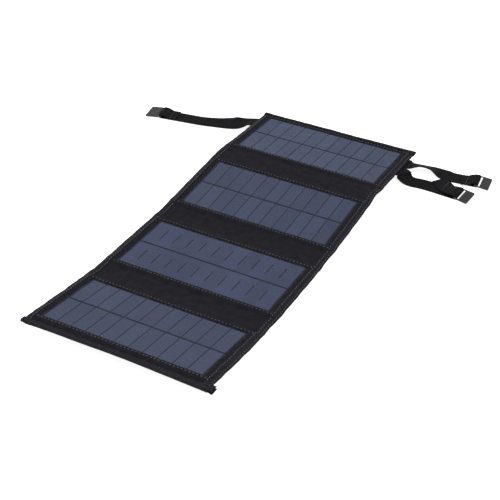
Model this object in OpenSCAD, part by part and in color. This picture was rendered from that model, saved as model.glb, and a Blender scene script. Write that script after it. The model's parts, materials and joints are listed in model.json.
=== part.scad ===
// Folding solar charger: four framed solar panels sewn into one fabric blanket,
// opened out on the ground, with a USB regulator in a pouch behind panel 1.
// Origin: centre of panel 3's back, on the ground. +X right, +Y towards the
// strap end, +Z up. Panel 1 is the panel at the strap end, panel 4 the last.

/* [Cells] */
// Cells in one row
cell_cols = 11; // [4:1:14]
// Rows of cells on one panel
cell_rows = 2; // [1:1:3]
// Width of one cut cell
cell_w = 19.5; // [12:0.5:26]
// Height of one cut cell
cell_h = 52; // [30:1:64]
// Thickness of one cell
cell_t = 0.2; // [0.1:0.05:0.4]
// Gap between neighbouring cells of a row
cell_gap = 0.8; // [0.4:0.1:2]
// Gap between the rows
row_gap = 3; // [1:0.5:8]
// Clear sheet showing past the outer cells, across the panel
margin_x = 3.2; // [1:0.1:8]
// Clear sheet showing past the outer cells, along the panel
margin_y = 2.1; // [1:0.1:8]

/* [Panels] */
// Thickness of the stiff backing board
board_t = 2; // [1:0.1:4]
// How far the board runs under the fabric past its window
board_over = 6.5; // [3:0.5:12]
// Thickness of the clear front sheet
sheet_t = 0.8; // [0.5:0.1:1.5]
// Fabric between the windows of neighbouring panels
fold_gap = 56.3; // [40:0.1:80]
// Half the bare crease left along each fold line
crease_half = 3; // [2:0.5:8]
// Slope of panel 1, degrees, rising towards +Y
tilt_1 = -2.3; // [-4:0.05:0]
// Slope of panel 4, degrees, rising towards +Y
tilt_4 = -7.15; // [-10:0.05:0]

/* [Fabric] */
// Thickness of the doubled back cover
cover_t = 1.3; // [0.9:0.1:2.5]
// Thickness of the front fabric
fabric_t = 0.7; // [0.4:0.1:1.2]
// Thickness of the edge binding tape
tape_t = 0.6; // [0.3:0.1:1]
// Width of the edge binding
binding_w = 6.2; // [4:0.1:12]
// Fabric turned down round the edge of a board
wall_w = 1.3; // [0.8:0.1:3]
// Flat fabric between the board and the binding at the near end
near_plain = 8; // [1:0.5:20]
// Flat fabric between the board and the binding at the far end
far_plain = 1; // [0.5:0.5:20]
// How far the loose binding tail stands out at the near right corner
tail_out = 9; // [4:0.5:14]
// Width of the loose binding tail
tail_w = 13; // [8:0.5:18]

/* [Wiring] */
// Width of a flat supply ribbon
ribbon_w = 4; // [2:0.5:8]
// Thickness of a supply ribbon
ribbon_t = 0.4; // [0.2:0.1:0.6]
// Distance from the middle line to each ribbon
ribbon_x = 24; // [14:1:30]
// Clearance round a ribbon in its channel
ribbon_fit = 0.1; // [0.05:0.05:0.2]

/* [Pouch] */
// Outer width of the pouch behind panel 1
pouch_w = 104; // [90:1:160]
// From fold 1-2 to the pouch
pouch_start = 42; // [32:1:46]
// From the pouch mouth to the far edge of the blanket
pouch_margin = 17.35; // [8:0.05:24]
// Wall thickness of the pouch
pouch_wall = 1.2; // [0.8:0.1:2]
// Thickness of the flap over the pouch mouth
flap_t = 1.2; // [0.8:0.1:1.6]
// Clearance between the flap and what it swings past
flap_fit = 0.4; // [0.3:0.1:0.8]

/* [Regulator] */
// Width of the regulator case
case_w = 62; // [56:1:72]
// Length of the regulator case
case_len = 42; // [38:1:50]
// Wall of the regulator case
case_wall = 1.3; // [1:0.1:1.6]
// From the case's sockets end to the pouch mouth
case_inset = 23.8; // [18:0.1:28]
// Clearance between the case and the back cover
case_gap = 0.2; // [0.1:0.1:0.4]
// Clearance between the case and the floor of the pouch
floor_fit = 0.28; // [0.2:0.02:0.6]
// Thickness of the circuit board
pcb_t = 1; // [0.8:0.1:1.2]
// Width of a USB socket shell
usb_w = 13.2; // [13:0.1:14]
// Height of a USB socket shell
usb_h = 5.8; // [5.6:0.1:7]
// Clearance above and below a socket shell inside the case
shell_fit = 0.5; // [0.3:0.1:0.8]
// Length of a USB socket shell
usb_len = 13.6; // [12:0.1:15]
// Distance between the two USB sockets
usb_pitch = 26; // [20:1:32]
// Radius of the case screws
screw_r = 1; // [0.8:0.1:1.2]

/* [Straps] */
// Webbing width
web_w = 28; // [22:0.5:30]
// Webbing thickness
web_t = 1.5; // [1:0.1:2]
// Radius of the bar that the webbing turns round
bar_r = 1.6; // [1.2:0.1:2]
// Clearance between the webbing and the bar
bar_fit = 0.5; // [0.3:0.1:0.8]
// Gap between the two right straps where they are sewn on
strap_gap = 1; // [0.5:0.5:4]
// Clearance between the webbing and each side of the hook plate's slot
slot_fit = 0.8; // [0.6:0.1:2]
// Width of the arm at each side of the slot
arm_w = 1.5; // [1.2:0.1:3]
// Free length of a right hook plate's slot past the webbing
slot_open = 2.4; // [1.5:0.1:4]
// Free length of the left hook plate's slot past the webbing
eye_slot_open = 1.4; // [1:0.1:4]
// Solid length of a right hook plate past its slot
plate_len = 14; // [10:0.5:20]
// Solid length of the left hook plate past its slot
eye_plate_len = 20; // [14:0.5:26]
// Distance from the small hole to the left hook plate's end
eye_inset = 10; // [5:0.5:12]
// Thickness of a hook plate
plate_t = 2.6; // [2:0.1:3.2]
// Radius of the small hole in the left hook plate
eye_r = 1.5; // [1:0.1:2.5]

/* [Hidden] */
$fn = 48;

// Overlap that keeps joined shapes and cuts clean
eps = 0.01;

// Window, board and blanket outlines
cells_wide = cell_cols * cell_w + (cell_cols - 1) * cell_gap;
cells_high = cell_rows * cell_h + (cell_rows - 1) * row_gap;
win_w = cells_wide + 2 * margin_x;
win_h = cells_high + 2 * margin_y;
board_w = win_w + 2 * board_over;
board_h = win_h + 2 * board_over;
blanket_w = board_w + 2 * (wall_w + binding_w);
half_w = blanket_w / 2;

// Heights above a panel's back
board_z = cover_t;
cell_z = board_z + board_t;
sheet_top = cell_z + sheet_t;
panel_t = sheet_top + fabric_t;
flange_top = cover_t + fabric_t;
binding_top = flange_top + tape_t;

// Distances along a panel from its middle to the ends of its fabric
pitch = win_h + fold_gap;
half_pitch = pitch / 2;
fold_end = half_pitch - crease_half;
near_end = board_h / 2 + wall_w + near_plain + binding_w;
far_end = board_h / 2 + wall_w + far_plain + binding_w;

// Pouch and regulator case, along panel 1 from its middle
pouch_y0 = pouch_start - half_pitch;
pouch_y1 = far_end - pouch_margin;
case_y1 = pouch_y1 - case_inset;
case_h = usb_h + 2 * (case_wall + shell_fit);

// Panel 1 rests on the case in its pouch, which sets the height of panel 1's
// middle and of fold 1-2, and so the slope of panel 2
middle_rise = (case_gap + case_h + floor_fit + pouch_wall) * cos(tilt_1)
    - case_y1 * sin(tilt_1);
fold_rise = middle_rise - half_pitch * sin(tilt_1);
tilt_2 = asin(fold_rise / pitch);

// Each panel's slope and the place of its middle, by panel number
TILTS = [0, tilt_1, tilt_2, 0, tilt_4];
CENTRES = [
    [0, 0],
    [half_pitch + pitch * cos(tilt_2) + half_pitch * cos(tilt_1), middle_rise],
    [half_pitch * (1 + cos(tilt_2)), half_pitch * sin(tilt_2)],
    [0, 0],
    [-half_pitch * (1 + cos(tilt_4)), -half_pitch * sin(tilt_4)]
];
// Where each panel's fabric starts and ends along the panel
STARTS = [0, -fold_end, -fold_end, -fold_end, -near_end];
ENDS = [0, far_end, fold_end, fold_end, fold_end];

FABRIC_COLOUR = "#1c1b1e";
TAPE_COLOUR = "#2a292d";
CELL_COLOUR = "#3a4160";
BOARD_COLOUR = "#23252e";
WEB_COLOUR = "#131214";
PLASTIC_COLOUR = "#232326";
COPPER_COLOUR = "#b8743c";
METAL_COLOUR = "#b9bbc0";

// Puts a shape drawn in a panel's own frame where that panel lies:
// x across, y along the panel, z out of its face, from the middle of its back.
module on_panel(n) {
    translate([0, CENTRES[n][0], CENTRES[n][1]])
        rotate([TILTS[n], 0, 0])
            children();
}

// A box that is centred across, from y0 to y1 and z0 to z1.
module slab(w, y0, y1, z0, z1) {
    translate([-w / 2, y0, z0])
        cube([w, y1 - y0, z1 - z0]);
}

// ---------------------------------------------------------------- panels

// Where the ribbons of a panel run, along the panel.
function ribbon_start(n) = n == 4 ? -board_h / 4 : STARTS[n] - eps;
function ribbon_end(n) = n == 1 ? pouch_y0 + pouch_wall + 2 : ENDS[n] + eps;

module ribbon_pair(n, grow) {
    w = ribbon_w + 2 * grow;
    for (side = [-1, 1])
        translate([side * ribbon_x - w / 2, ribbon_start(n), cover_t - ribbon_t - grow])
            cube([w, ribbon_end(n) - ribbon_start(n), ribbon_t + grow]);
}

module back_cover(n) {
    rebate = binding_w + ribbon_fit;
    color(FABRIC_COLOUR) on_panel(n) difference() {
        slab(blanket_w - 2 * tape_t, STARTS[n], ENDS[n], 0, cover_t);
        for (side = [-1, 1])
            translate([side * half_w, 0, 0])
                slab(2 * rebate, STARTS[n] - 1, ENDS[n] + 1, -1, tape_t);
        if (n == 1)
            slab(blanket_w + 2, far_end - rebate, far_end + 1, -1, tape_t);
        if (n == 1)
            slab(blanket_w + 2, far_end - tape_t, far_end + 1, -1, cover_t + 1);
        if (n == 4)
            slab(blanket_w + 2, -near_end - 1, -near_end + rebate, -1, tape_t);
        if (n == 4)
            slab(blanket_w + 2, -near_end - 1, -near_end + tape_t, -1, cover_t + 1);
        translate([0, 0, eps])
            ribbon_pair(n, ribbon_fit);
    }
}

module backing_board(n) {
    color(BOARD_COLOUR) on_panel(n)
        slab(board_w, -board_h / 2, board_h / 2, board_z, cell_z);
}

// Every cell of a panel, each a separate plate, centred on the panel.
module cell_grid() {
    for (row = [0 : cell_rows - 1], col = [0 : cell_cols - 1])
        translate([
            -cells_wide / 2 + col * (cell_w + cell_gap),
            -cells_high / 2 + row * (cell_h + row_gap),
            cell_z])
            cube([cell_w, cell_h, cell_t]);
}

module solar_cells(n) {
    color(CELL_COLOUR) on_panel(n) cell_grid();
}

module front_sheet(n) {
    color([0.55, 0.6, 0.75, 0.5]) on_panel(n) difference() {
        slab(board_w, -board_h / 2, board_h / 2, cell_z, sheet_top);
        translate([0, 0, -eps]) cell_grid();
        cell_grid();
    }
}

// The front fabric: flat flanges, a raised border over the board's edges, and
// the window that the cells are seen through.
module front_fabric(n) {
    pad_w = board_w + 2 * wall_w;
    pad_h = board_h / 2 + wall_w;
    trim_near = n == 4 ? tape_t : 0;
    trim_far = n == 1 ? tape_t : 0;
    color(FABRIC_COLOUR) on_panel(n) difference() {
        union() {
            slab(blanket_w - 2 * tape_t, STARTS[n] + trim_near, ENDS[n] - trim_far,
                 cover_t, flange_top);
            hull() {
                slab(pad_w - 0.2, 0.1 - pad_h, pad_h - 0.1, cover_t, flange_top + eps);
                slab(pad_w - wall_w, wall_w / 2 - pad_h, pad_h - wall_w / 2, cover_t, panel_t);
            }
        }
        slab(board_w, -board_h / 2, board_h / 2, 0, sheet_top);
        slab(win_w, -win_h / 2, win_h / 2, 0, panel_t + 1);
    }
}

// Tape folded round an edge: a channel open towards -y, drawn along x.
module folded_tape(len) {
    difference() {
        translate([-len / 2, -binding_w, 0]) cube([len, binding_w, binding_top]);
        translate([-len / 2 - 1, -binding_w - 1, tape_t])
            cube([len + 2, binding_w + 1 - tape_t, flange_top - tape_t]);
    }
}

module side_binding(n) {
    start = STARTS[n] + (n == 4 ? binding_w + eps : 0);
    end = ENDS[n] - (n == 1 ? binding_w + eps : 0);
    color(TAPE_COLOUR) on_panel(n)
        for (side = [-1, 1])
            translate([side * half_w, (start + end) / 2, 0])
                rotate([0, 0, -side * 90])
                    folded_tape(end - start);
}

module near_hem() {
    color(TAPE_COLOUR) on_panel(4)
        translate([0, -near_end, 0])
            rotate([0, 0, 180])
                folded_tape(blanket_w);
}

module far_hem() {
    color(TAPE_COLOUR) on_panel(1)
        translate([0, far_end, 0])
            folded_tape(blanket_w);
}

// The loose end of the binding, folded double, at the near right corner.
module binding_tail() {
    lift = 2.2;
    color(TAPE_COLOUR) on_panel(4)
        translate([half_w + eps, -near_end + tail_w, tape_t])
            rotate([90, 0, 0])
                linear_extrude(tail_w) polygon([
                    [0, 0], [tail_out, -0.4], [tail_out, tape_t], [2, tape_t + 0.5],
                    [tail_out - 1, lift], [tail_out - 1, lift + tape_t + 0.3],
                    [1.5, binding_top], [0, binding_top - tape_t]]);
}

module supply_ribbons(n) {
    color(COPPER_COLOUR) on_panel(n) ribbon_pair(n, 0);
}

// ----------------------------------------------------- pouch and regulator

// Depth below panel 1's back, at y along the panel, at which the ground lies.
function ground_depth(y) = (CENTRES[1][1] + y * sin(tilt_1)) / cos(tilt_1);

// A wedge between panel 1's back and a level lift above the ground.
module pouch_wedge(w, y0, y1, top, lift) {
    translate([-w / 2, 0, 0])
        rotate([90, 0, 90])
            linear_extrude(w) polygon([
                [y0, top], [y0, lift - ground_depth(y0)],
                [y1, lift - ground_depth(y1)], [y1, top]]);
}

module pouch() {
    color(FABRIC_COLOUR) on_panel(1) difference() {
        pouch_wedge(pouch_w, pouch_y0, pouch_y1, 0, 0);
        pouch_wedge(pouch_w - 2 * pouch_wall, pouch_y0 + pouch_wall, pouch_y1 + 1, 1, pouch_wall);
    }
}

// The flap's hinge line, just under panel 1's back at the pouch mouth
flap_y = pouch_y1 + flap_fit + flap_t / 2;
flap_z = -flap_t / 2 - flap_fit;

module pouch_flap() {
    color(FABRIC_COLOUR) on_panel(1)
        translate([0, flap_y, flap_z]) {
            rotate([0, 90, 0])
                cylinder(r = flap_t / 2, h = pouch_w, center = true);
            slab(pouch_w, -flap_t / 2, flap_t / 2,
                 flap_fit - ground_depth(flap_y) - flap_z, 0);
        }
}

// Regulator case: its back rests under panel 1's cover, its sockets face the
// mouth. case_z is its middle plane, where the two shells meet.
case_y0 = case_y1 - case_len;
case_top = -case_gap;
case_bottom = case_top - case_h;
case_z = (case_top + case_bottom) / 2;
inner_w = case_w - 2 * case_wall;
boss_r = 2.6;
boss_x = inner_w / 2 - boss_r - 0.3;
boss_y = [case_y0 + case_wall + boss_r + 0.3, case_y1 - case_wall - boss_r - 0.3];
head_r = 1.9 * screw_r;
head_t = 0.7;
socket_fit = 0.15;
lens_r = 1.5;

module at_bosses() {
    for (side = [-1, 1], y = boss_y)
        translate([side * boss_x, y, 0])
            children();
}

module socket_holes() {
    for (side = [-1, 1])
        translate([side * usb_pitch / 2, 0, case_z])
            slab(usb_w + 2 * socket_fit, case_y1 - case_wall - 1, case_y1 + 1,
                 -usb_h / 2 - socket_fit, usb_h / 2 + socket_fit);
    translate([0, case_y1, case_z])
        rotate([90, 0, 0])
            cylinder(r = lens_r + socket_fit / 2, h = 4 * case_wall, center = true);
}

// One shell of the case, from z0 to z1, hollow between in0 and in1.
module case_shell(z0, z1, in0, in1) {
    difference() {
        slab(case_w, case_y0, case_y1, z0, z1);
        slab(inner_w, case_y0 + case_wall, case_y1 - case_wall, in0, in1);
    }
}

module regulator_base() {
    color(PLASTIC_COLOUR) on_panel(1) difference() {
        union() {
            case_shell(case_z, case_top, case_z - 1, case_top - case_wall);
            at_bosses() translate([0, 0, case_z])
                cylinder(r = boss_r, h = case_top - case_z - eps);
        }
        at_bosses() translate([0, 0, case_z - 1])
            cylinder(r = screw_r, h = case_top - case_z - case_wall + 1);
        socket_holes();
        for (side = [-1, 1])
            translate([side * ribbon_x, 0, 0])
                slab(ribbon_w + 1, case_y0 - 1, case_y0 + case_wall + 1,
                     case_top - case_wall - ribbon_t - 1, case_top - case_wall);
    }
}

module regulator_lid() {
    color(PLASTIC_COLOUR) on_panel(1) difference() {
        union() {
            case_shell(case_bottom, case_z, case_bottom + case_wall, case_z + 1);
            at_bosses() translate([0, 0, case_bottom + eps])
                cylinder(r = boss_r, h = case_z - case_bottom - eps);
        }
        at_bosses() {
            translate([0, 0, case_bottom - 1])
                cylinder(r = screw_r + socket_fit, h = case_h);
            translate([0, 0, case_bottom - 1])
                cylinder(r = head_r + socket_fit, h = head_t + 1);
        }
        socket_holes();
    }
}

// The board sits behind the sockets, between the screw bosses' rows
pcb_y0 = boss_y[0] + boss_r + 0.4;
pcb_y1 = case_y1 + 0.6 - usb_len - 0.2;
pcb_z = case_z + 0.4;

module circuit_board() {
    color("#1f5a38") on_panel(1)
        slab(inner_w - 0.6, pcb_y0, pcb_y1, pcb_z, pcb_z + pcb_t);
}

module choke_coil() {
    color("#33312e") on_panel(1)
        translate([inner_w / 4, (pcb_y0 + pcb_y1) / 2, pcb_z])
            rotate([180, 0, 0])
                cylinder(r = (pcb_y1 - pcb_y0) / 3, h = pcb_z - case_bottom - case_wall - 0.4);
}

module capacitor() {
    can_r = (pcb_z - case_bottom - case_wall) / 2 - 0.2;
    color("#6d7076") on_panel(1)
        translate([-inner_w / 4 - 4, (pcb_y0 + pcb_y1) / 2, pcb_z - can_r])
            rotate([0, 90, 0])
                cylinder(r = can_r, h = 8);
}

// Two socket shells, each with its contact tongue, open towards the mouth.
module usb_sockets() {
    shell_t = 0.4;
    tongue_t = 1.8;
    y1 = case_y1 + 0.6;
    color(METAL_COLOUR) on_panel(1)
        for (side = [-1, 1])
            translate([side * usb_pitch / 2, 0, case_z]) {
                difference() {
                    slab(usb_w, y1 - usb_len, y1, -usb_h / 2, usb_h / 2);
                    slab(usb_w - 2 * shell_t, y1 - usb_len + 1, y1 + 1,
                         -usb_h / 2 + shell_t, usb_h / 2 - shell_t);
                }
                slab(usb_w - 2.4, y1 - usb_len, y1 - 1, 0, tongue_t);
            }
}

module indicator_lens() {
    color("#c8302a") on_panel(1)
        translate([0, case_y1 + 0.4, case_z])
            rotate([90, 0, 0])
                cylinder(r = lens_r, h = case_wall + 1.4);
}

module case_screws() {
    color(METAL_COLOUR) on_panel(1)
        at_bosses() {
            translate([0, 0, case_bottom])
                cylinder(r = screw_r, h = case_h - case_wall - 1);
            translate([0, 0, case_bottom])
                cylinder(r = head_r, h = head_t);
        }
}

// ----------------------------------------------------------------- straps

// Height of panel 1's back over the ground at world y
function back_z(y) = CENTRES[1][1] + (y - CENTRES[1][0]) * tan(tilt_1);

// Webbing sewn under panel 1's edge lies along its back: height and roll of its
// middle, for a strap that leaves to the right (side 1) or to the left (side -1)
sewn_gap = 0.5;
function sewn_row(side, out, y) =
    [side * (half_w + out), y, back_z(y) - sewn_gap - web_t / 2, side * tilt_1];
lie_z = web_t / 2;

// The radius of the webbing's middle line round the bar, and the bar's height
turn_r = bar_r + bar_fit + web_t / 2;
bar_z = lie_z + turn_r;

// Rows past the panel: how far out from the blanket's side, how far along from
// the sewn end, height and roll of the webbing's middle line, to the start of
// the loop. Roll lifts the edge on the walker's left.
LEFT_RUN = [
    [12.5, -0.8, 8.2, 4], [19.5, -3.3, 6.6, 0], [30.5, -9.3, 5.2, -14],
    [43.5, -13.8, 3.2, -10], [61.5, -19, 1.6, -4], [88.5, -26, lie_z, 0],
    [116.5, -30.8, lie_z, 0]];
UPPER_RUN = [
    [11.5, 2, 9.6, -16], [18.5, 5, 9.8, -22], [29.5, 9, 8.4, -22], [40.5, 13, 4.6, -12],
    [53.5, 14, lie_z, 0], [68.5, 12.3, lie_z, 0], [85.5, 14.3, lie_z, 0]];
LOWER_RUN = [
    [10.5, -2.5, 6.4, 3], [16.5, -3.5, 3.2, 3], [24.5, -2.5, 1, 0],
    [37.5, -0.5, lie_z, 0], [55.5, -0.5, lie_z, 0], [74, -1.7, lie_z, 0]];

// No edge of the webbing goes below the ground.
function on_ground(row) = [
    row[0], row[1],
    max(row[2], web_w / 2 * abs(sin(row[3])) + web_t / 2 * cos(row[3])), row[3]];
function strap_route(side, y, run) = concat(
    [for (out = [-26, -10, 4]) sewn_row(side, out, y)],
    [for (row = run) [side * (half_w + row[0]), y + row[1], row[2], row[3]]]);

// Where the straps are sewn on, along the row
lower_y = CENTRES[1][0] + 7.3;
upper_y = lower_y + web_w + strap_gap;
left_y = upper_y;
LEFT_ROUTE = strap_route(-1, left_y, LEFT_RUN);
UPPER_ROUTE = strap_route(1, upper_y, UPPER_RUN);
LOWER_ROUTE = strap_route(1, lower_y, LOWER_RUN);

// From the loop's start to the bar, and how the sewn end runs back over the
// strap: its length, and how far it strays to the walker's left.
LEFT_LOOP = [36, 26, 0];
UPPER_LOOP = [22, 24, -5];
LOWER_LOOP = [21, 40, 24];

function unit(v) = v / norm(v);
function smooth(p0, p1, p2, p3, t) =
    0.5 * (2 * p1 + (p2 - p0) * t + (2 * p0 - 5 * p1 + 4 * p2 - p3) * t * t
           + (3 * p1 - p0 - 3 * p2 + p3) * t * t * t);

// A smooth list through the rows, four steps to a span.
function route_rows(r) = [
    for (i = [0 : len(r) - 2], k = [0 : 3])
        on_ground(smooth(r[max(i - 1, 0)], r[i], r[i + 1], r[min(i + 2, len(r) - 1)], k / 4)),
    r[len(r) - 1]];

function place(row) = [row[0], row[1], row[2]];
function heading(r) = unit([
    r[len(r) - 1][0] - r[len(r) - 2][0], r[len(r) - 1][1] - r[len(r) - 2][1], 0]);
function left_of(d) = unit([-d[1], d[0], 0]);

// The bar's middle for a strap
function bar_place(r, loop) =
    [r[len(r) - 1][0], r[len(r) - 1][1], bar_z] + loop[0] * heading(r);

// Stations of a strap's flat run: its middle and its sideways direction.
function run_stations(rows) = [
    for (i = [0 : len(rows) - 1])
        let (ahead = place(rows[min(i + 1, len(rows) - 1)]) - place(rows[max(i - 1, 0)]),
             side = left_of(ahead))
        [place(rows[i]), side * cos(rows[i][3]) + [0, 0, sin(rows[i][3])]]];

// Stations round the bar and back over the strap.
function loop_stations(r, loop) =
    let (d = heading(r), side = left_of(d), b = bar_place(r, loop),
         rest_z = lie_z + web_t + 0.15 - bar_z,
         back = unit(d * loop[1] - side * loop[2]))
    concat(
        [for (a = [-90 : 22.5 : 90]) [b + turn_r * (cos(a) * d + [0, 0, sin(a)]), side]],
        [for (t = [0.2 : 0.2 : 1])
            let (s = t < 0.5 ? 2 * t * t : 1 - 2 * (1 - t) * (1 - t),
                 drop = turn_r + (rest_z - turn_r) * min(1, 1.9 * s),
                 across = unit(side + (left_of(back) - side) * min(1, 2 * t)))
            [b - t * loop[1] * d + loop[2] * t * t * side + [0, 0, drop], across]]);

// A flat band through stations: four corners to a station, all triangles.
module band(stations) {
    n = len(stations);
    rings = [for (i = [0 : n - 1])
        let (p = stations[i][0], side = stations[i][1],
             t = unit(stations[min(i + 1, n - 1)][0] - stations[max(i - 1, 0)][0]),
             up = unit(cross(t, side)))
        [p + side * web_w / 2 + up * web_t / 2, p - side * web_w / 2 + up * web_t / 2,
         p - side * web_w / 2 - up * web_t / 2, p + side * web_w / 2 - up * web_t / 2]];
    points = [for (ring = rings, p = ring) p];
    sides = [for (i = [0 : n - 2], k = [0 : 3])
        let (a = 4 * i + k, b = 4 * i + (k + 1) % 4)
        each [[a, b + 4, b], [a, a + 4, b + 4]]];
    last = 4 * (n - 1);
    polyhedron(points, concat(
        [[0, 1, 2], [0, 2, 3], [last, last + 2, last + 1], [last, last + 3, last + 2]], sides));
}

module strap(route, loop) {
    color(WEB_COLOUR)
        band(concat(run_stations(route_rows(route)), loop_stations(route, loop)));
}

module strap_left() { strap(LEFT_ROUTE, LEFT_LOOP); }
module strap_right_upper() { strap(UPPER_ROUTE, UPPER_LOOP); }
module strap_right_lower() { strap(LOWER_ROUTE, LOWER_LOOP); }

// Where a plate's slot and the plate itself end, from its bar
function slot_end(eye) = turn_r + web_t / 2 + (eye ? eye_slot_open : slot_open);
function plate_end(eye) = slot_end(eye) + (eye ? eye_plate_len : plate_len);
plate_w = web_w + 2 * (slot_fit + arm_w);
// The plate leans so that its far end lies on the ground
function lean(eye) = asin((bar_z - plate_t / 2) / plate_end(eye));

// A hook plate, drawn along +x from its bar, which lies along y.
module hook_plate(route, loop, eye) {
    b = bar_place(route, loop);
    d = heading(route);
    color(PLASTIC_COLOUR)
        translate(b)
            rotate([0, 0, atan2(d[1], d[0])])
                rotate([0, lean(eye), 0]) {
                    rotate([90, 0, 0])
                        cylinder(r = bar_r, h = plate_w - arm_w, center = true);
                    for (side = [-1, 1])
                        translate([-bar_r, side * (plate_w - arm_w) / 2 - arm_w / 2, -plate_t / 2])
                            cube([slot_end(eye) + bar_r + 1, arm_w, plate_t]);
                    difference() {
                        translate([0, 0, -plate_t / 2])
                            linear_extrude(plate_t) difference() {
                                translate([slot_end(eye), -plate_w / 2])
                                    square([plate_end(eye) - slot_end(eye), plate_w]);
                                for (side = [-1, 1])
                                    translate([plate_end(eye), side * plate_w / 2])
                                        rotate([0, 0, 45])
                                            square(2, center = true);
                            }
                        if (eye)
                            translate([plate_end(eye) - eye_inset, 0, 0])
                                cylinder(r = eye_r, h = plate_t + 2, center = true);
                    }
                }
}

module hook_plate_left() { hook_plate(LEFT_ROUTE, LEFT_LOOP, true); }
module hook_plate_right_upper() { hook_plate(UPPER_ROUTE, UPPER_LOOP, false); }
module hook_plate_right_lower() { hook_plate(LOWER_ROUTE, LOWER_LOOP, false); }

// ------------------------------------------------------------------ nodes

back_cover(1);  // back_cover_1
back_cover(2);  // back_cover_2
back_cover(3);  // back_cover_3
back_cover(4);  // back_cover_4
backing_board(1);  // backing_board_1
backing_board(2);  // backing_board_2
backing_board(3);  // backing_board_3
backing_board(4);  // backing_board_4
solar_cells(1);  // solar_cells_1
solar_cells(2);  // solar_cells_2
solar_cells(3);  // solar_cells_3
solar_cells(4);  // solar_cells_4
front_sheet(1);  // front_sheet_1
front_sheet(2);  // front_sheet_2
front_sheet(3);  // front_sheet_3
front_sheet(4);  // front_sheet_4
front_fabric(1);  // front_fabric_1
front_fabric(2);  // front_fabric_2
front_fabric(3);  // front_fabric_3
front_fabric(4);  // front_fabric_4
side_binding(1);  // side_binding_1
side_binding(2);  // side_binding_2
side_binding(3);  // side_binding_3
side_binding(4);  // side_binding_4
supply_ribbons(1);  // supply_ribbons_1
supply_ribbons(2);  // supply_ribbons_2
supply_ribbons(3);  // supply_ribbons_3
supply_ribbons(4);  // supply_ribbons_4
near_hem();
far_hem();
binding_tail();
pouch();
pouch_flap();
regulator_base();
regulator_lid();
circuit_board();
choke_coil();
capacitor();
usb_sockets();
indicator_lens();
case_screws();
strap_left();
strap_right_upper();
strap_right_lower();
hook_plate_left();
hook_plate_right_upper();
hook_plate_right_lower();
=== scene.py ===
"""A folding solar charger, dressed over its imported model.

The charger is one long strip of cloth with four stiff panels sewn into it, and
every sewn piece is drawn in the strip's own coordinates: x across, s along from
the middle of panel 3 towards the strap end, and h out of the face, from the
back. Blanket.place turns them into the row frame. Lengths are in metres.
"""
import json
import logging
import math
from dataclasses import dataclass, field
from enum import Enum
from typing import Optional, Sequence, Union

import bpy
import numpy as np
from mathutils import Matrix, Vector


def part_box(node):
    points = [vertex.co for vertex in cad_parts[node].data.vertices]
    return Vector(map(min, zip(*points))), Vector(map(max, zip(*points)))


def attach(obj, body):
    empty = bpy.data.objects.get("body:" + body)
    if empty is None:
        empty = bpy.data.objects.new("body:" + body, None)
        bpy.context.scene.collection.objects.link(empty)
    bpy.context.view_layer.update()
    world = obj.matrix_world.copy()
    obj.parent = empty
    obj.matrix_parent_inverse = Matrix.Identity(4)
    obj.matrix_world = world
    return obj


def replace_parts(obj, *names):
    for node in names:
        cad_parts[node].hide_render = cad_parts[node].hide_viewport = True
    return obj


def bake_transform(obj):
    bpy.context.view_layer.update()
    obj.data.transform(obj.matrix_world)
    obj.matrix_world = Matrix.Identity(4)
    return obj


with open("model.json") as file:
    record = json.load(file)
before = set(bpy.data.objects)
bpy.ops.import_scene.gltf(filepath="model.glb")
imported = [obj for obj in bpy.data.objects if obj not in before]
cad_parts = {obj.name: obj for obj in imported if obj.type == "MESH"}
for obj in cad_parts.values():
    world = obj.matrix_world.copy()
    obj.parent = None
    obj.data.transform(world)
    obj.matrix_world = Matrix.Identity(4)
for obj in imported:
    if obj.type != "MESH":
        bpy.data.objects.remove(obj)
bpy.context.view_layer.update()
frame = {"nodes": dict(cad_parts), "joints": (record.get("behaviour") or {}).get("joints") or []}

MM = 0.001
LOG = logging.getLogger("solar_charger")
Array = np.ndarray
Socket = bpy.types.NodeSocket
Value = Union[float, Sequence[float], Socket]
Piece = bpy.types.Object


class Slot(Enum):
    """Names of the record's material slots; no piece here takes its finish from them."""

    CLOTH = "oxford_fabric"
    TAPE = "binding_tape"
    CELL = "solar_cell"
    SHEET = "clear_laminate"
    RIBBON = "copper_ribbon"
    WEB = "webbing"
    HOOK = "hook_plastic"


# --------------------------------------------------------------- arithmetic


def ramp(value: Array, low: float, high: float) -> Array:
    """Smoothstep of value from low to high.

    Args:
        value: numbers of any shape.
        low: where the ramp leaves 0.
        high: where it reaches 1.

    Returns:
        t * t * (3 - 2 t), with t the clipped share of the way from low to high.
    """
    t = np.clip((value - low) / (high - low), 0.0, 1.0)
    return t * t * (3.0 - 2.0 * t)


def eased(value: Array, heights: Sequence[float]) -> Array:
    """A smooth curve through heights given at 0, 1, 2 and so on.

    Args:
        value: where to read it.
        heights: its height at each whole number.

    Returns:
        The first height plus each rise times its own ramp.
    """
    curve = heights[0] + 0.0 * value
    for step, (low, high) in enumerate(zip(heights, heights[1:])):
        curve = curve + (high - low) * ramp(value, float(step), step + 1.0)
    return curve


def unit(vectors: Array) -> Array:
    """Vectors along the last axis, each divided by its length."""
    return vectors / np.maximum(np.linalg.norm(vectors, axis=-1, keepdims=True), 1e-12)


def even_lines(*stops: float, pitch: float) -> Array:
    """Grid lines through every stop, and about pitch apart between them.

    Args:
        stops: where a line must be, in any order.
        pitch: the distance to aim at between lines.

    Returns:
        The lines, rising.
    """
    ends = sorted(set(round(stop, 7) for stop in stops))
    runs = [
        np.linspace(a, b, max(1, round((b - a) / pitch)) + 1)[:-1]
        for a, b in zip(ends, ends[1:])
    ]
    return np.concatenate(runs + [np.array(ends[-1:])])


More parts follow.
